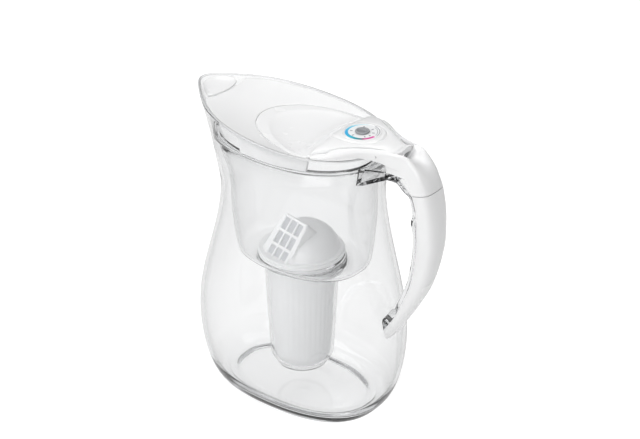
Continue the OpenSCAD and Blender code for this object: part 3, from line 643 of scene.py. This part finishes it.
WINDOW_STEP, WINDOW_RISE = 7.3, 11.0
FRAME_HALF, FRAME_LONG = 12.1, 35.0
frame_bars = []
for k, half in enumerate((1.3, 0.75, 0.75, 1.3)):
    middle = (k - 1.5) * WINDOW_STEP
    frame_bars.append(bar(middle - half, middle + half, 0.2, FRAME_LONG, 0.25))
for k in range(4):
    middle = 0.7 + k * WINDOW_RISE
    frame_bars.append(bar(-FRAME_HALF, FRAME_HALF, middle - 1.1, middle + 1.1, 0.3))
cap = body("cartridge_cap_shell", [cap_body] + frame_bars, cup_white, sharp=38)
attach(cap, "cartridge")
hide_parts("cartridge_cap")

# The screen is a fine grey weave that lies in the inlet, a little below its bars.
SCREEN_HALF, SCREEN_LOW, SCREEN_LONG, SCREEN_STEPS = 10.8, 0.6, 34.2, 24
screen_material, tree, out = new_material("grey_screen")
wire = add(tree, "BsdfPrincipled", Roughness=0.55)
space = add(tree, "TexCoord")
both = add(tree, "Math", operation="MAXIMUM")
for spot, direction in enumerate("XZ"):
    wave = add(tree, "TexWave", Scale=420.0, bands_direction=direction)
    link(tree, space, "Object", wave, "Vector")
    link(tree, wave, "Fac", both, spot)
tone = ramp(tree, both, 0, [(0.45, (0.42, 0.43, 0.445)), (0.85, (0.72, 0.73, 0.75))])
link(tree, tone, "Color", wire, "Base Color")
roughen(tree, both, 0, wire, 0.6, 0.2)
link(tree, wire, 0, out, "Surface")
sheet = []
for j in range(SCREEN_STEPS + 1):
    v = SCREEN_LOW + SCREEN_LONG * j / SCREEN_STEPS
    across = [mix(-SCREEN_HALF, SCREEN_HALF, i / SCREEN_STEPS) for i in range(SCREEN_STEPS + 1)]
    top = [on_ramp(u, v, -1.15 + 0.08 * math.cos(math.pi * i / 6)) for i, u in enumerate(across)]
    sheet.append(top + [on_ramp(u, v, -1.5) for u in across[::-1]])
screen = body("inlet_screen", [skin(sheet)], screen_material, sharp=40)
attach(screen, "cartridge")
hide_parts("cap_screen")


def grain_material(name, painted_gap_shade, light, size, rough=0.8, depth=0.4):
    """Loose grains: cells light in the middle and darker towards their edges, a painted shade in the gaps
    between the grains.
    """
    material, tree, out = new_material(name)
    grain = add(tree, "BsdfPrincipled", Roughness=rough)
    space = add(tree, "TexCoord")
    cells = add(tree, "TexVoronoi", Scale=1000 / size)
    link(tree, space, "Object", cells, "Vector")
    # Painted shade: tone by distance from each cell's middle, darkest in the gaps between grains
    link(tree, ramp(tree, cells, "Distance", [(0.0, light), (0.75, painted_gap_shade)]), "Color", grain, "Base Color")
    roughen(tree, cells, "Distance", grain, 0.8, depth, invert=True)
    link(tree, grain, 0, out, "Surface")
    return material


refinish("carbon_granules", grain_material("carbon", (0.01, 0.01, 0.011), (0.07, 0.07, 0.075), 1.1))
refinish("resin_beads", grain_material("resin", (0.3, 0.2, 0.08), (0.72, 0.58, 0.34), 0.7, rough=0.4))
refinish("inlet_pad", grain_material(
    "inlet_felt", (0.6, 0.59, 0.55), (0.85, 0.84, 0.8), 0.5, rough=0.95, depth=0.15))
refinish("middle_pad", grain_material(
    "middle_felt", (0.58, 0.57, 0.53), (0.83, 0.82, 0.78), 0.5, rough=0.95, depth=0.15))
refinish("outlet_screen", screen_material)

# The white lid drops inside the rim on a short skirt. Its top dips like a saddle between the raised spout
# end and the tail, which bridges to the handle and holds a scoop for the thumb behind the flip lid.
LID_WALL, LID_GAP = 2.0, 0.5
LID_FRONT, LID_BACK, TAIL_START, SKIRT_LOW = -66.3, 116.0, 35.6, 208.3
# The flip lid's outline: reach ahead of DOOR_MID, half width there and (x, half width) down its tail
DOOR_FRONT, DOOR_HALF, DOOR_MID, DOOR_END, DOOR_ROUND = 59.9, 37.0, 26.3, 91.0, 2.6
DOOR_TAIL = [(29.3, 37.0), (37, 34.5), (46, 29.8), (54.4, 23.4), (63, 17.6), (72, 12.8), (81, 9.2),
             (88.4, 8.4)]
DOOR_GAP = 0.6
# Down the tail: x, edge height, crown height, half width, oval exponent, side's depth, pitch and dent
TAIL = [
    (35.6, 219.6, 221.4, 0, 2, 0.5, 0, 0), (40, 220, 226, 38.4, 2, 0.6, 0, 0),
    (47, 220.6, 227.6, 35, 2.1, 1.2, 0, 0), (55, 221.4, 228.2, 30, 2.6, 1.4, 0, 0),
    (63, 222.6, 228.4, 23.4, 3.2, 1.8, 0, 0), (72, 223.2, 228.4, 17.6, 3.2, 3.4, 0, 0),
    (81, 223.4, 228.4, 13.9, 3, 5.8, 2, 0), (88, 223, 228.6, 12.5, 2.8, 7.4, 8, 9),
    (93.4, 222.6, 228.6, 11.9, 2.8, 7.8, 17, 9), (98.6, 220.8, 227.2, 11.6, 2.8, 7.8, 31, 6),
    (104, 216.2, 222.8, 11.6, 2.8, 7.6, 45, 3.4), (109.6, 209.6, 216.4, 11.6, 2.8, 7.2, 56, 1.2),
    (113.8, 201.6, 208.6, 11.6, 2.8, 6.8, 67, 0), (116, 196.4, 203.4, 11.6, 2.8, 6.8, 74.5, 0),
]
# Height of the lid's middle line in front of the tail
CROWN = [(-66.3, 225.2), (-56, 222.4), (-44, 220), (-32, 218.2), (-20, 216.8), (-8, 215.4), (4, 213.6),
         (16, 211.8), (26, 211.9), (34, 218.6), (35.6, 221.4)]


def run_of(rows, x, k=1):
    """Smooth value at x through rows of (x, value, ...)."""
    if x <= rows[0][0]:
        return rows[0][k]
    for i in range(len(rows) - 1):
        if x <= rows[i + 1][0]:
            a, b, c, d = (rows[min(max(i + q, 0), len(rows) - 1)] for q in (-1, 0, 1, 2))
            span = c[0] - b[0]
            t = (x - b[0]) / span
            m0 = (c[k] - a[k]) / max(c[0] - a[0], 1e-6) * span
            m1 = (d[k] - b[k]) / max(d[0] - b[0], 1e-6) * span
            return ((2 * t ** 3 - 3 * t * t + 1) * b[k] + (t ** 3 - 2 * t * t + t) * m0
                    + (3 * t * t - 2 * t ** 3) * c[k] + (t ** 3 - t * t) * m1)
    return rows[-1][k]


def inside_half(x, z, inset):
    """Half width of the jug at x and true height z, less inset."""
    before = z
    for _ in range(8):
        before = z - rim_lift(x) * rim_share(before)
    half = jug_size(before, 2) - inset
    return oval_reach(x, half, jug_size(before, 0 if x < 0 else 1) - inset, jug_round(before))


def skirt_low(x, edge):
    """Lower edge of the skirt, which ends short of the spout and the tail."""
    if -19 < x < 34:
        return SKIRT_LOW
    if x < 0:
        return mix(SKIRT_LOW, edge - 3, unit((-19 - x) / 3))
    return mix(SKIRT_LOW, 219.1, unit((x - 34) / 1.6))


def lid_row(x):
    """Edge height, crown height, half width, oval exponent, lower edge, pitch, dent and the lower edge's half
    width of the lid at x."""
    inset = JUG_WALL + LID_GAP
    if x < TAIL_START:
        edge = RIM_Z + rim_lift(x) - 1
        low = skirt_low(x, edge)
        shifted = x - (2.5 if x < -60 else 0)
        return [mix(edge, 219.6, ease((x - 33) / 2.6)), run_of(CROWN, x), inside_half(shifted, edge, inset),
                2.0, low, 0.0, 0.0, inside_half(shifted, low, inset)]
    edge, crown, _, e, depth, pitch, drop = (run_of(TAIL, x, k) for k in range(1, 8))
    if x < 40:
        half = mix(inside_half(TAIL_START, 219, inset), 38.4, ease((x - TAIL_START) / 4.4))
    else:
        half = run_of(TAIL[1:], x, 3)
    return [edge, crown, half, e, edge - depth, pitch, drop, half]


def open_half(x, grow):
    """Half width of the flip lid's outline at x."""
    if x < DOOR_MID + 3:
        return (DOOR_HALF + grow) * math.sqrt(max(1 - ((x - DOOR_MID) / (DOOR_FRONT + grow)) ** 2, 0))
    rounded = max((x - DOOR_END - grow + DOOR_ROUND) / DOOR_ROUND, 0)
    return (run_of(DOOR_TAIL, x) + grow) * math.sqrt(max(1 - rounded ** 2, 0))


def bow(v, e):
    return max(1 - min(abs(v), 1) ** e, 0) ** (1 if e < 2.05 else 1 / e)


def dent(v):
    return max(1 - (v / 0.85) ** 2, 0) ** 1.5


apex = DOOR_MID - DOOR_FRONT - DOOR_GAP
end = DOOR_END + DOOR_GAP
places = [mix(LID_FRONT, apex, i / 12) for i in range(12)]
places += [DOOR_MID - (DOOR_FRONT + DOOR_GAP) * math.cos(math.pi / 2 * i / 26) for i in range(27)]
places += [28.5 + 0.9 * i for i in range(6)] + [34.0, 34.8, TAIL_START, 36.6, 38, 40]
places += [42.4 + 2.6 * i for i in range(18)]
places += [end - DOOR_ROUND * math.cos(math.pi / 2 * i / 8) for i in range(9)]
places += [93.4 + 1.3 * i for i in range(18)] + [LID_BACK]
places = sorted(set(round(x, 4) for x in places + [-22.0, -19.0, end - 4]))
TOP_STEPS = 26


def lid_half(x, side):
    """Closed run of one half of the lid's section: from the crown or the opening outwards and back under."""
    edge, crown, w, e, low, pitch, drop, foot = lid_row(x)
    gap = open_half(x, DOOR_GAP) if apex < x < end else 0.0
    sweep = 1.1 * unit((x - 50) / 12) * (1 if gap > 0 else 0)
    gap = min(gap + sweep * unit(gap / 6), w - 0.7)
    soft = min(0.5, gap * 0.5)

    def top(y):
        return mix(edge, crown, bow(y / w, e)) - drop * dent(y / w) - crown

    under = LID_WALL if low < edge - LID_WALL else 1.0
    points = []
    for i in range(TOP_STEPS + 1):
        share = math.sin(i / TOP_STEPS * math.pi / 2) if e > 2.2 else i / TOP_STEPS
        y = mix(gap + soft, w - 0.35, share)
        points.append((y, top(y)))
    rim, base = edge - crown, low - crown
    points += [(w - 0.08, rim - 0.12), (w, rim - 0.45)]
    points += [(foot, base + 0.3), (foot - 0.3, base), (foot - LID_WALL, base)]
    inner_w = w - LID_WALL
    for i in range(TOP_STEPS, -1, -1):
        y = mix(gap, inner_w, i / TOP_STEPS)
        points.append((y, top(min(y * w / max(inner_w, 1), w)) - under))
    round_off = min(0.55, soft)
    points.append((gap, top(gap) - round_off))
    points.append((gap + 0.3 * soft, top(gap) - 0.3 * round_off))
    ring = lay([(side * y, z) for y, z in points], x, crown, pitch)
    back = 2.5 if x < -60 else 0
    return [(p[0] - back * (p[1] / w) ** 2, p[1], p[2]) for p in ring]


# Each half is closed by a strip of faces at both ends, and meets the other in the middle except where the
# flip lid's opening is
points, faces = [], []
for side in (1, -1):
    rings = [lid_half(x, side) for x in places]
    n = len(rings[0])
    first_under = TOP_STEPS + 6
    last_under = first_under + TOP_STEPS
    start = len(points)
    points += [p for ring in rings for p in ring]
    for i in range(len(rings) - 1):
        shut = not (apex < places[i] < end or apex < places[i + 1] < end)
        row, after = start + i * n, start + (i + 1) * n
        for j in range(last_under if shut else n):
            l = (j + 1) % n
            faces.append((row + j, row + l, after + l, after + j))
    for base in (start, start + (len(rings) - 1) * n):
        for k in range(TOP_STEPS):
            under = base + last_under - k
            faces.append((base + k, base + k + 1, under - 1, under))
        faces.append(tuple(base + k for k in range(TOP_STEPS, first_under + 1)))
top_plate = (points, faces)


def soft_box(low, high, r=0.5):
    """Box with softened edges, as rings up its height."""
    rings = []
    for z, inset in ((low[2], r), (low[2] + r, 0), (high[2] - r, 0), (high[2], r)):
        ring = []
        for x, y, sx, sy, first in ((high[0], high[1], 1, 1, 0), (low[0], high[1], -1, 1, 90),
                                    (low[0], low[1], -1, -1, 180), (high[0], low[1], 1, -1, 270)):
            for a in (math.radians(first + 30 * k) for k in range(4)):
                out = r - inset
                ring.append((x - sx * r + out * math.cos(a), y - sy * r + out * math.sin(a), z))
        rings.append(ring)
    return skin(rings)


def rod(x, z, y0, y1, r):
    """Rod along y with softened ends."""
    soft, rings = 0.25, []
    for y, inset in ((y0, soft), (y0 + soft, 0), (y1 - soft, 0), (y1, soft)):
        rings.append([(x + (r - inset) * math.cos(a), y, z + (r - inset) * math.sin(a)) for a in turn(40)])
    return skin(rings)


# A tray under the tail catches the flip lid's lip, and pairs of ears hold the two hinge pins
tray = [soft_box((81, -11.2, 210.4), (98, 11.2, 212)), soft_box((81, 9.9, 211), (97, 11.2, 220)),
        soft_box((81, -11.2, 211), (97, -9.9, 220)), soft_box((96.6, -11.2, 211), (98, 11.2, 216))]
HINGE, EAR_Y, EAR_HALF, EAR_R = (75.0, 222.6), 13.0, 0.9, 3.2
FLAP_HINGE, FLAP_EAR_Y, FLAP_EAR_HALF, FLAP_EAR_R = (-69.8, 221.9), 11.7, 1.3, 1.9
ears = []
for s in (1, -1):
    ears.append(rod(*HINGE, s * EAR_Y - EAR_HALF, s * EAR_Y + EAR_HALF, EAR_R))
    y0, y1 = s * FLAP_EAR_Y - FLAP_EAR_HALF, s * FLAP_EAR_Y + FLAP_EAR_HALF
    ears.append(rod(*FLAP_HINGE, y0, y1, FLAP_EAR_R))
    ears.append(soft_box((FLAP_HINGE[0], y0, FLAP_HINGE[1] - FLAP_EAR_R), (FLAP_HINGE[0] + 7, y1, 222.8)))
lid = body("lid_shell", [top_plate] + tray + ears, white, sharp=34)
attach(lid, "lid")
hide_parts("lid_cover")

# The keyhole-shaped flip lid lies in the cover: a scooped oval under which the hopper is filled, a raised
# teardrop for the dial, and a narrow tail that ends in the lip a thumb presses down.
# x, edge height, height of the middle line and oval exponent
DOOR_ROWS = [(-33.6, 218.4, 218.4, 2), (-31.6, 218.4, 218.3, 2), (-24, 218.2, 217.6, 2),
             (-12, 218, 216.2, 2), (0, 217.4, 215.4, 2), (12, 216.6, 216.2, 2), (22, 216, 219.6, 2),
             (30, 216.8, 223.8, 2), (38, 221.4, 226.4, 2.1), (46, 223.8, 227.4, 2.4), (54, 226, 227.9, 2.8),
             (62, 227.2, 228.2, 2.8), (70, 227, 228.2, 2.8), (78, 225.8, 227.4, 2.4), (84, 225.0, 225.8, 2),
             (88.4, 226, 226.4, 2), (90.8, 226.8, 227.2, 2)]
DISH_DEEP, DISH_FLOOR, DISH_LONG, DISH_HALF, DISH_OVAL = 2.4, 214.9, 49.7, 34.9, 1.8
# The dial's place, and the radius of the raised teardrop round it
DIAL_X, TEAR_R = 53, 15.6
ACROSS = 84


def door_half(x):
    """Half width of the flip lid, a little inside its outline."""
    if x < DOOR_MID + 3:
        return DOOR_HALF * math.sqrt(max(1 - ((x - DOOR_MID) / DOOR_FRONT) ** 2, 0)) - 0.1
    rounded = max((x - DOOR_END + DOOR_ROUND) / DOOR_ROUND, 0)
    return (run_of(DOOR_TAIL, x) - 0.1) * math.sqrt(max(1 - rounded ** 2, 0))


def door_top(x, y, w):
    """The flip lid's upper face: border, dish in front, raised teardrop for the dial, thumb lip."""
    edge, middle, e = (run_of(DOOR_ROWS, x, k) for k in (1, 2, 3))
    rise = max(middle - edge, 0) if x < 40 else middle - edge
    z = edge + rise * bow(y / max(w, 0.5), e)
    if x < 46:
        ahead = max(DOOR_MID - x, 0) / DISH_LONG
        rho = (ahead ** DISH_OVAL + (abs(y) / DISH_HALF) ** DISH_OVAL) ** (1 / DISH_OVAL)
        z -= DISH_DEEP * max(1 - rho ** 2.8, 0) ** 0.8 * ease((40 - x) / 20)
    over = z - DISH_FLOOR
    z = DISH_FLOOR + (unit((over + 1) / 2) ** 2 if over < 1 else over)
    ridge = math.hypot((x - DIAL_X) / (1.1 if x > DIAL_X else 1.75), y)
    groove = 0.45 * math.exp(-((ridge - TEAR_R - 0.3) / 0.55) ** 2)
    z += (0.5 * ease((TEAR_R - ridge) / 0.8) - groove) * ease((x - 22) / 4)
    return z + 0.9 * ease((x - 82.5) / 6) * (1 - 0.4 * (y / max(w, 0.5)) ** 2)


def door_wall(x):
    """Wall of the flip lid: thinner under the dish, thicker at the thumb lip."""
    return 1.4 + 0.6 * ease((x - 10) / 14) + 1.6 * ease((x - 86) / 3)


steps = [DOOR_MID - DOOR_FRONT * math.cos(math.pi / 2 * i / 34) for i in range(1, 35)]
steps += [DOOR_MID + 0.7 * i for i in range(1, 89)]
steps += [DOOR_END - DOOR_ROUND * math.cos(math.pi / 2 * i / 6) for i in range(1, 6)]
rings = []
for x in sorted(set(round(x, 4) for x in steps if x < DOOR_END - 0.05)):
    w, wall = door_half(x), door_wall(x)
    soft = min(0.45, w * 0.3)
    top_run = []
    for i in range(ACROSS + 1):
        y = (w - soft) * mix(math.cos(math.pi * i / ACROSS), 1 - 2 * i / ACROSS, 0.5)
        top_run.append((x, y, door_top(x, y, w)))
    low_run = [(x, y, z - wall) for _, y, z in top_run[::-1]]
    edge = door_top(x, w, w)
    right = [(x, w, edge - wall + 0.3), (x, w, edge - soft), (x, w - 0.3 * soft, edge - 0.3 * soft)]
    rings.append(right + top_run + [(x, -y, z) for _, y, z in right[::-1]] + low_run)
points, faces = skin(rings)
# Both ends are closed by strips between the upper and the lower run
n = len(rings[0])
faces = faces[:-2]
for base in (0, (len(rings) - 1) * n):
    end_ring = [base + j for j in range(n)]
    upper, lower = end_ring[:ACROSS + 7], end_ring[ACROSS + 7:][::-1]
    faces.append((*upper[:4], lower[0]))
    for j in range(ACROSS):
        faces.append((upper[3 + j], upper[4 + j], lower[j + 1], lower[j]))
    faces.append((*upper[ACROSS + 3:], lower[-1]))
knuckle = [rod(*HINGE, -9.4, 9.4, 3.0), soft_box((72.2, -9.2, HINGE[1]), (77.8, 9.2, 226.0))]
door = body("flip_lid_shell", [(points, faces)] + knuckle, white, sharp=34)
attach(door, "flip_lid")
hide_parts("flip_lid")

# A thin white flap closes the spout and swings up when water pours out; its pin lies under its back edge.
FLAP_T, FLAP_HALF, FLAP_STEPS = 1.3, 16, 40
FLAP_BACK_Z, FLAP_RISE, FLAP_SAG = 225.2, 3.2, 0.35
FLAP_GAP = 2.6
FLAP_SHARES = [0.03] + [k / 14 for k in range(1, 14)] + [0.97]


def flap_front(y):
    """x of the flap's front edge, which follows the rim round the spout."""
    inset = JUG_WALL + FLAP_GAP
    reach = oval_reach(y, RIM[0] - inset, RIM[2] - inset, RIM_OVAL)
    return -reach - SPOUT_PULL * math.exp(-(y / SPOUT_HALF) ** 2)


rings = []
for i in range(FLAP_STEPS + 1):
    y = FLAP_HALF * (1 - 2 * i / FLAP_STEPS)
    back, front = FLAP_HINGE[0] + 1.6 - 4 * (y / FLAP_HALF) ** 2, flap_front(y)
    top = [(mix(back, front, t), y, FLAP_BACK_Z + FLAP_RISE * t - FLAP_SAG * math.sin(math.pi * t))
           for t in FLAP_SHARES]
    low = [(x, y, z - FLAP_T) for x, _, z in top[::-1]]
    tip = FLAP_BACK_Z + FLAP_RISE
    nose = [(front, y, tip - 0.4), (front, y, tip - FLAP_T + 0.3)]
    rings.append([(back, y, FLAP_BACK_Z - 0.85)] + top + nose + low + [(back, y, FLAP_BACK_Z - FLAP_T + 0.1)])
barrel = [rod(*FLAP_HINGE, -10, 10, 2.0), soft_box((-71.6, -9.9, FLAP_HINGE[1]), (-68.0, 9.9, 224.2), 0.3)]
flap = body("spout_flap_shell", [skin(rings)] + barrel, white, sharp=40)
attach(flap, "spout_flap")
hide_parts("spout_flap")


def steel_material():
    """Drawn steel wire, for the hinge pins and the knob's retaining ring."""
    material, tree, out = new_material("pin_steel")
    metal = add(tree, "BsdfPrincipled", Metallic=1.0)
    drawn = noise(tree, 900.0, 2.0)
    tone = ramp(tree, drawn, "Fac", [(0.3, (0.5, 0.5, 0.51)), (0.7, (0.66, 0.66, 0.67))])
    rough = ramp(tree, drawn, "Fac", [(0.3, (0.22,) * 3), (0.7, (0.38,) * 3)])
    link(tree, tone, "Color", metal, "Base Color")
    link(tree, rough, "Color", metal, "Roughness")
    link(tree, metal, 0, out, "Surface")
    return material


steel = steel_material()
for node_name in ("flip_lid_pin", "spout_flap_pin", "knob_retainer"):
    refinish(node_name, steel)

# The filter-change dial: a white seat ring, a printed face whose band runs from pale aqua through blue and
# teal to magenta with a thin grey double line on the far side, short ticks, and a low grey turning knob.
DIAL = Vector((DIAL_X, 0.0, 227.9))
TILT = math.radians(2)
# Radius and height of the seat ring's section, and of the face's
SEAT = [(1.65, -0.6), (13.3, -0.6), (13.6, -0.3), (13.6, 0.55), (13.35, 0.8), (12.9, 0.8), (12.66, 0.55),
        (12.62, 0.0), (1.65, 0.0)]
FACE = [(1.66, 0.02), (12.55, 0.02), (12.58, 0.5), (12.5, 0.6), (1.66, 0.6)]
FACE_TOP = 0.6


def on_dial(x, y, z):
    c, s = math.cos(TILT), math.sin(TILT)
    return (DIAL.x + x * c - z * s, DIAL.y + y, DIAL.z + x * s + z * c)


def dial_disc(profile, loop=True):
    rings = [[on_dial(r * math.cos(a), r * math.sin(a), z) for a in turn(96)] for r, z in profile]
    return skin(rings, loop=loop)


seat = body("dial_seat_ring", [dial_disc(SEAT)], white, sharp=34)
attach(seat, "flip_lid")
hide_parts("dial_seat")


def printed(name, inks):
    """Printed film whose colour runs with the angle in degrees about the dial."""
    material, tree, out = new_material(name)
    film = add(tree, "BsdfPrincipled", Roughness=0.35)
    space = add(tree, "TexCoord")
    shift = add(tree, "VectorMath", operation="SUBTRACT")
    shift.inputs[1].default_value = place(DIAL)
    link(tree, space, "Object", shift, 0)
    about = add(tree, "SeparateXYZ")
    link(tree, shift, 0, about, 0)
    angle = add(tree, "Math", operation="ARCTAN2")
    for spot, axis in enumerate("YX"):
        back = add(tree, "Math", operation="MULTIPLY")
        back.inputs[1].default_value = -1
        link(tree, about, axis, back, 0)
        link(tree, back, 0, angle, spot)
    share = add(tree, "MapRange", From_Min=-math.pi, From_Max=math.pi)
    link(tree, angle, 0, share, "Value")
    tone = ramp(tree, share, 0, [(degrees / 360, colour) for degrees, colour in inks])
    link(tree, tone, "Color", film, "Base Color")
    roughen(tree, noise(tree, 3000.0, 1.0), "Fac", film, 0.15, 0.01)
    link(tree, film, 0, out, "Surface")
    return material


def stretch(first, last, inner, outer, top):
    """Thin raised band between two angles in degrees; inner and outer are its radii at both ends."""
    count = max(int(abs(last - first) / 2), 8)
    soft, rings = 0.06, []
    for i in range(count + 1):
        t = i / count
        a = math.radians(mix(first, last, t))
        r0, r1 = mix(*inner, t), mix(*outer, t)
        section = ((r0, FACE_TOP), (r1, FACE_TOP), (r1, top - 0.03), (r1 - soft, top), (r0 + soft, top),
                   (r0, top - 0.03))
        rings.append([on_dial(r * math.cos(a), r * math.sin(a), z) for r, z in section])
    return skin(rings)


face_ink = printed("dial_face_ink", [(0, (0.83, 0.84, 0.85)), (360, (0.86, 0.87, 0.875))])
face = body("dial_face_disc", [dial_disc(FACE)], face_ink)
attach(face, "flip_lid")
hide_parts("dial_face")
# For each colour: its stretches, their top and the ink's colours by angle
BANDS = {
    "blue": ([(100, 262, (11.4, 9.3), (11.9, 12.2))], 0.68, [
        (84, (0.72, 0.86, 0.88)), (128, (0.6, 0.85, 0.9)), (165, (0.1, 0.58, 0.8)),
        (218, (0.01, 0.38, 0.72)), (262, (0.02, 0.46, 0.62))]),
    "teal": ([(262, 304, (9.3, 10.1), (12.2, 12.2))], 0.68, [
        (262, (0.02, 0.46, 0.6)), (285, (0.01, 0.27, 0.33)), (304, (0.05, 0.14, 0.18))]),
    "magenta": ([(304, 353, (10.1, 9.9), (12.2, 12.0))], 0.68, [
        (304, (0.16, 0.04, 0.1)), (314, (0.6, 0.05, 0.27)), (353, (0.72, 0.06, 0.36))]),
    "grey": ([(358, 440, (11.75, 11.75), (12.2, 12.2)), (2, 72, (10.4, 10.4), (10.75, 10.75))], 0.66, [
        (0, (0.2, 0.21, 0.23)), (360, (0.3, 0.31, 0.33))]),
}
for colour, (stretches, top, inks) in BANDS.items():
    ink = printed(f"dial_{colour}_ink", inks)
    band = body(f"dial_band_{colour}", [stretch(*ends, top) for ends in stretches], ink, sharp=34)
    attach(band, "flip_lid")
    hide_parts(f"dial_arc_{colour}")

# The ticks, printed in the last band's grey: degrees round the dial, then (radius, half width) outwards
TICKS = (118, 200, 252, 318, 346, 20, 62)
TICK_RUN = ((7.0, 0.42), (7.3, 0.45), (8.6, 0.45), (8.8, 0.42))
TICK_TOP = 0.66
tick_parts = []
for degrees in TICKS:
    c, s = math.cos(math.radians(degrees)), math.sin(math.radians(degrees))
    tick_parts.append(skin([
        [on_dial(r * c - h * s, r * s + h * c, z)
         for h, z in ((half, FACE_TOP), (-half, FACE_TOP), (-half, TICK_TOP), (half, TICK_TOP))]
        for r, half in TICK_RUN]))
ticks = body("dial_tick_marks", tick_parts, ink, sharp=30)
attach(ticks, "flip_lid")
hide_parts("dial_ticks")

# The knob: radius and height of its section, and height, half length and half width up its grip bar
KNOB = [(0.1, -3.2), (1.6, -3.2), (1.6, 0.7), (4.9, 0.9), (5.2, 1.15), (5.15, 1.4), (4.9, 1.9), (4.4, 2.1),
        (3.9, 2.05), (3.6, 1.6), (3.2, 1.4), (0.1, 1.35)]
GRIP_BAR = ((1.2, 4.2, 1.1), (2.3, 4.1, 0.95), (2.75, 3.8, 0.75), (2.88, 3.4, 0.45))
knob_grey = white_plastic("knob_plastic", (0.3, 0.31, 0.325), (0.25, 0.38), 0.02)
grip_bar = [[on_dial(long * signed_power(math.cos(a), 0.5), half * signed_power(math.sin(a), 0.7), z)
             for a in turn(32)] for z, long, half in GRIP_BAR]
knob = body("dial_knob_body", [dial_disc(KNOB, loop=False), skin(grip_bar)], knob_grey, sharp=40)
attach(knob, "dial")
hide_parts("dial_knob")

# A pale floor, soft lamps and a camera at the photograph's angle. The floor is white to the camera and
# takes the shadow; through the clear plastic and in reflections it darkens away from the object.
floor_mesh = bpy.data.meshes.new("floor")
bm = bmesh.new()
bmesh.ops.create_grid(bm, x_segments=8, y_segments=8, size=6.0)
bm.to_mesh(floor_mesh)
bm.free()
floor = bpy.data.objects.new("floor", floor_mesh)
floor.location = (0, 0, -0.0002)
bpy.context.scene.collection.objects.link(floor)
floor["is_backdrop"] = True
floor_white, tree, out = new_material("floor_white")
matt = add(tree, "BsdfDiffuse", Color=(0.8, 0.8, 0.8, 1))
glow = add(tree, "Emission", Color=(1, 1, 1, 1))
where = add(tree, "NewGeometry")
away = add(tree, "VectorMath", operation="LENGTH")
link(tree, where, "Position", away, 0)
far_white = add(tree, "MapRange", From_Min=0.5, From_Max=1.6, To_Min=0.42, To_Max=1.0)
link(tree, away, "Value", far_white, "Value")
link(tree, far_white, 0, glow, "Strength")
lit = add(tree, "AddShader")
link(tree, matt, 0, lit, 0)
link(tree, glow, 0, lit, 1)
reach = add(tree, "MapRange", From_Min=0.35, From_Max=2.2)
link(tree, away, "Value", reach, "Value")
fade = ramp(tree, reach, 0, [(0.0, (1.0, 1.0, 1.0)), (0.35, (0.93, 0.93, 0.935)), (1.0, (0.3, 0.31, 0.32))])
through_glow = add(tree, "Emission", Strength=0.72)
link(tree, fade, "Color", through_glow, "Color")
dim_matt = add(tree, "BsdfDiffuse", Color=(0.3, 0.3, 0.3, 1))
through_lit = add(tree, "AddShader")
link(tree, dim_matt, 0, through_lit, 0)
link(tree, through_glow, 0, through_lit, 1)
path = add(tree, "LightPath")
by_glass = either_ray(tree, path, "Is Transmission Ray", "Is Glossy Ray")
shown = choose(tree, path, "Is Camera Ray", choose(tree, by_glass, 0, matt, through_lit), lit)
link(tree, shown, 0, out, "Surface")
floor_mesh.materials.append(floor_white)

# The room is white to the camera, an even pale light on the object and, where it shows in gloss or through
# the clear plastic, darker low down than overhead.
world = bpy.data.worlds.new("studio")
bpy.context.scene.world = world
world.use_nodes = True
tree = world.node_tree
tree.nodes.clear()
out = add(tree, "OutputWorld")
plain = add(tree, "Background", Color=(1, 1, 1, 1), Strength=0.3)
backdrop = add(tree, "Background", Color=(1, 1, 1, 1), Strength=1.0)
mirrored = add(tree, "Background", Strength=1.0)
space = add(tree, "TexCoord")
height = add(tree, "SeparateXYZ")
link(tree, space, "Generated", height, 0)
sky = ramp(tree, height, "Z", [(0.0, (0.28, 0.28, 0.29)), (0.25, (0.42, 0.42, 0.43)),
                               (0.6, (0.85, 0.85, 0.855)), (0.85, (1.0, 1.0, 1.0))])
link(tree, sky, "Color", mirrored, "Color")
path = add(tree, "LightPath")
by_glass = either_ray(tree, path, "Is Glossy Ray", "Is Transmission Ray")
shown = choose(tree, path, "Is Camera Ray", choose(tree, by_glass, 0, plain, mirrored), backdrop)
link(tree, shown, 0, out, "Surface")


def lamp(name, where, aim, size, power):
    data = bpy.data.lights.new(name, "AREA")
    data.shape = "RECTANGLE"
    data.size, data.size_y = size
    data.energy = power
    piece = bpy.data.objects.new(name, data)
    piece.location = where
    piece.rotation_mode = "QUATERNION"
    piece.rotation_quaternion = (Vector(aim) - Vector(where)).to_track_quat("-Z", "Y")
    bpy.context.scene.collection.objects.link(piece)


lamp("key", (-1.1, -0.9, 1.5), (0, 0, 0.1), (1.2, 1.2), 18)
lamp("top", (0.1, 0.6, 1.9), (0, 0, 0.1), (1.6, 1.2), 14)
lamp("front", (0.75, -1.5, 0.75), (0, 0, 0.12), (1.4, 1.2), 13)

# The camera's angle, distance and lens are the photograph's; its aim is shifted a little right and up
AZIMUTH, ELEVATION, DISTANCE = math.radians(38), math.radians(31), 1.365
AIM_RIGHT, AIM_UP = 0.009683, 0.022862
camera_data = bpy.data.cameras.new("camera")
camera_data.lens = 104.6
camera_data.sensor_width = 36
camera_data.clip_end = 20
camera = bpy.data.objects.new("camera", camera_data)
bpy.context.scene.collection.objects.link(camera)
back = Vector((math.sin(AZIMUTH) * math.cos(ELEVATION), -math.cos(AZIMUTH) * math.cos(ELEVATION),
               math.sin(ELEVATION)))
camera.location = Vector((AXIS_X / 1000, 0, 0.105)) + back * DISTANCE
camera.rotation_mode = "QUATERNION"
level = (-back).to_track_quat("-Z", "Y")
right, up = level @ Vector((1, 0, 0)), level @ Vector((0, 1, 0))
camera.rotation_quaternion = (AIM_RIGHT * right + AIM_UP * up - back).to_track_quat("-Z", "Y")
bpy.context.scene.camera = camera
bpy.context.scene.view_settings.view_transform = "Standard"

low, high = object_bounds()
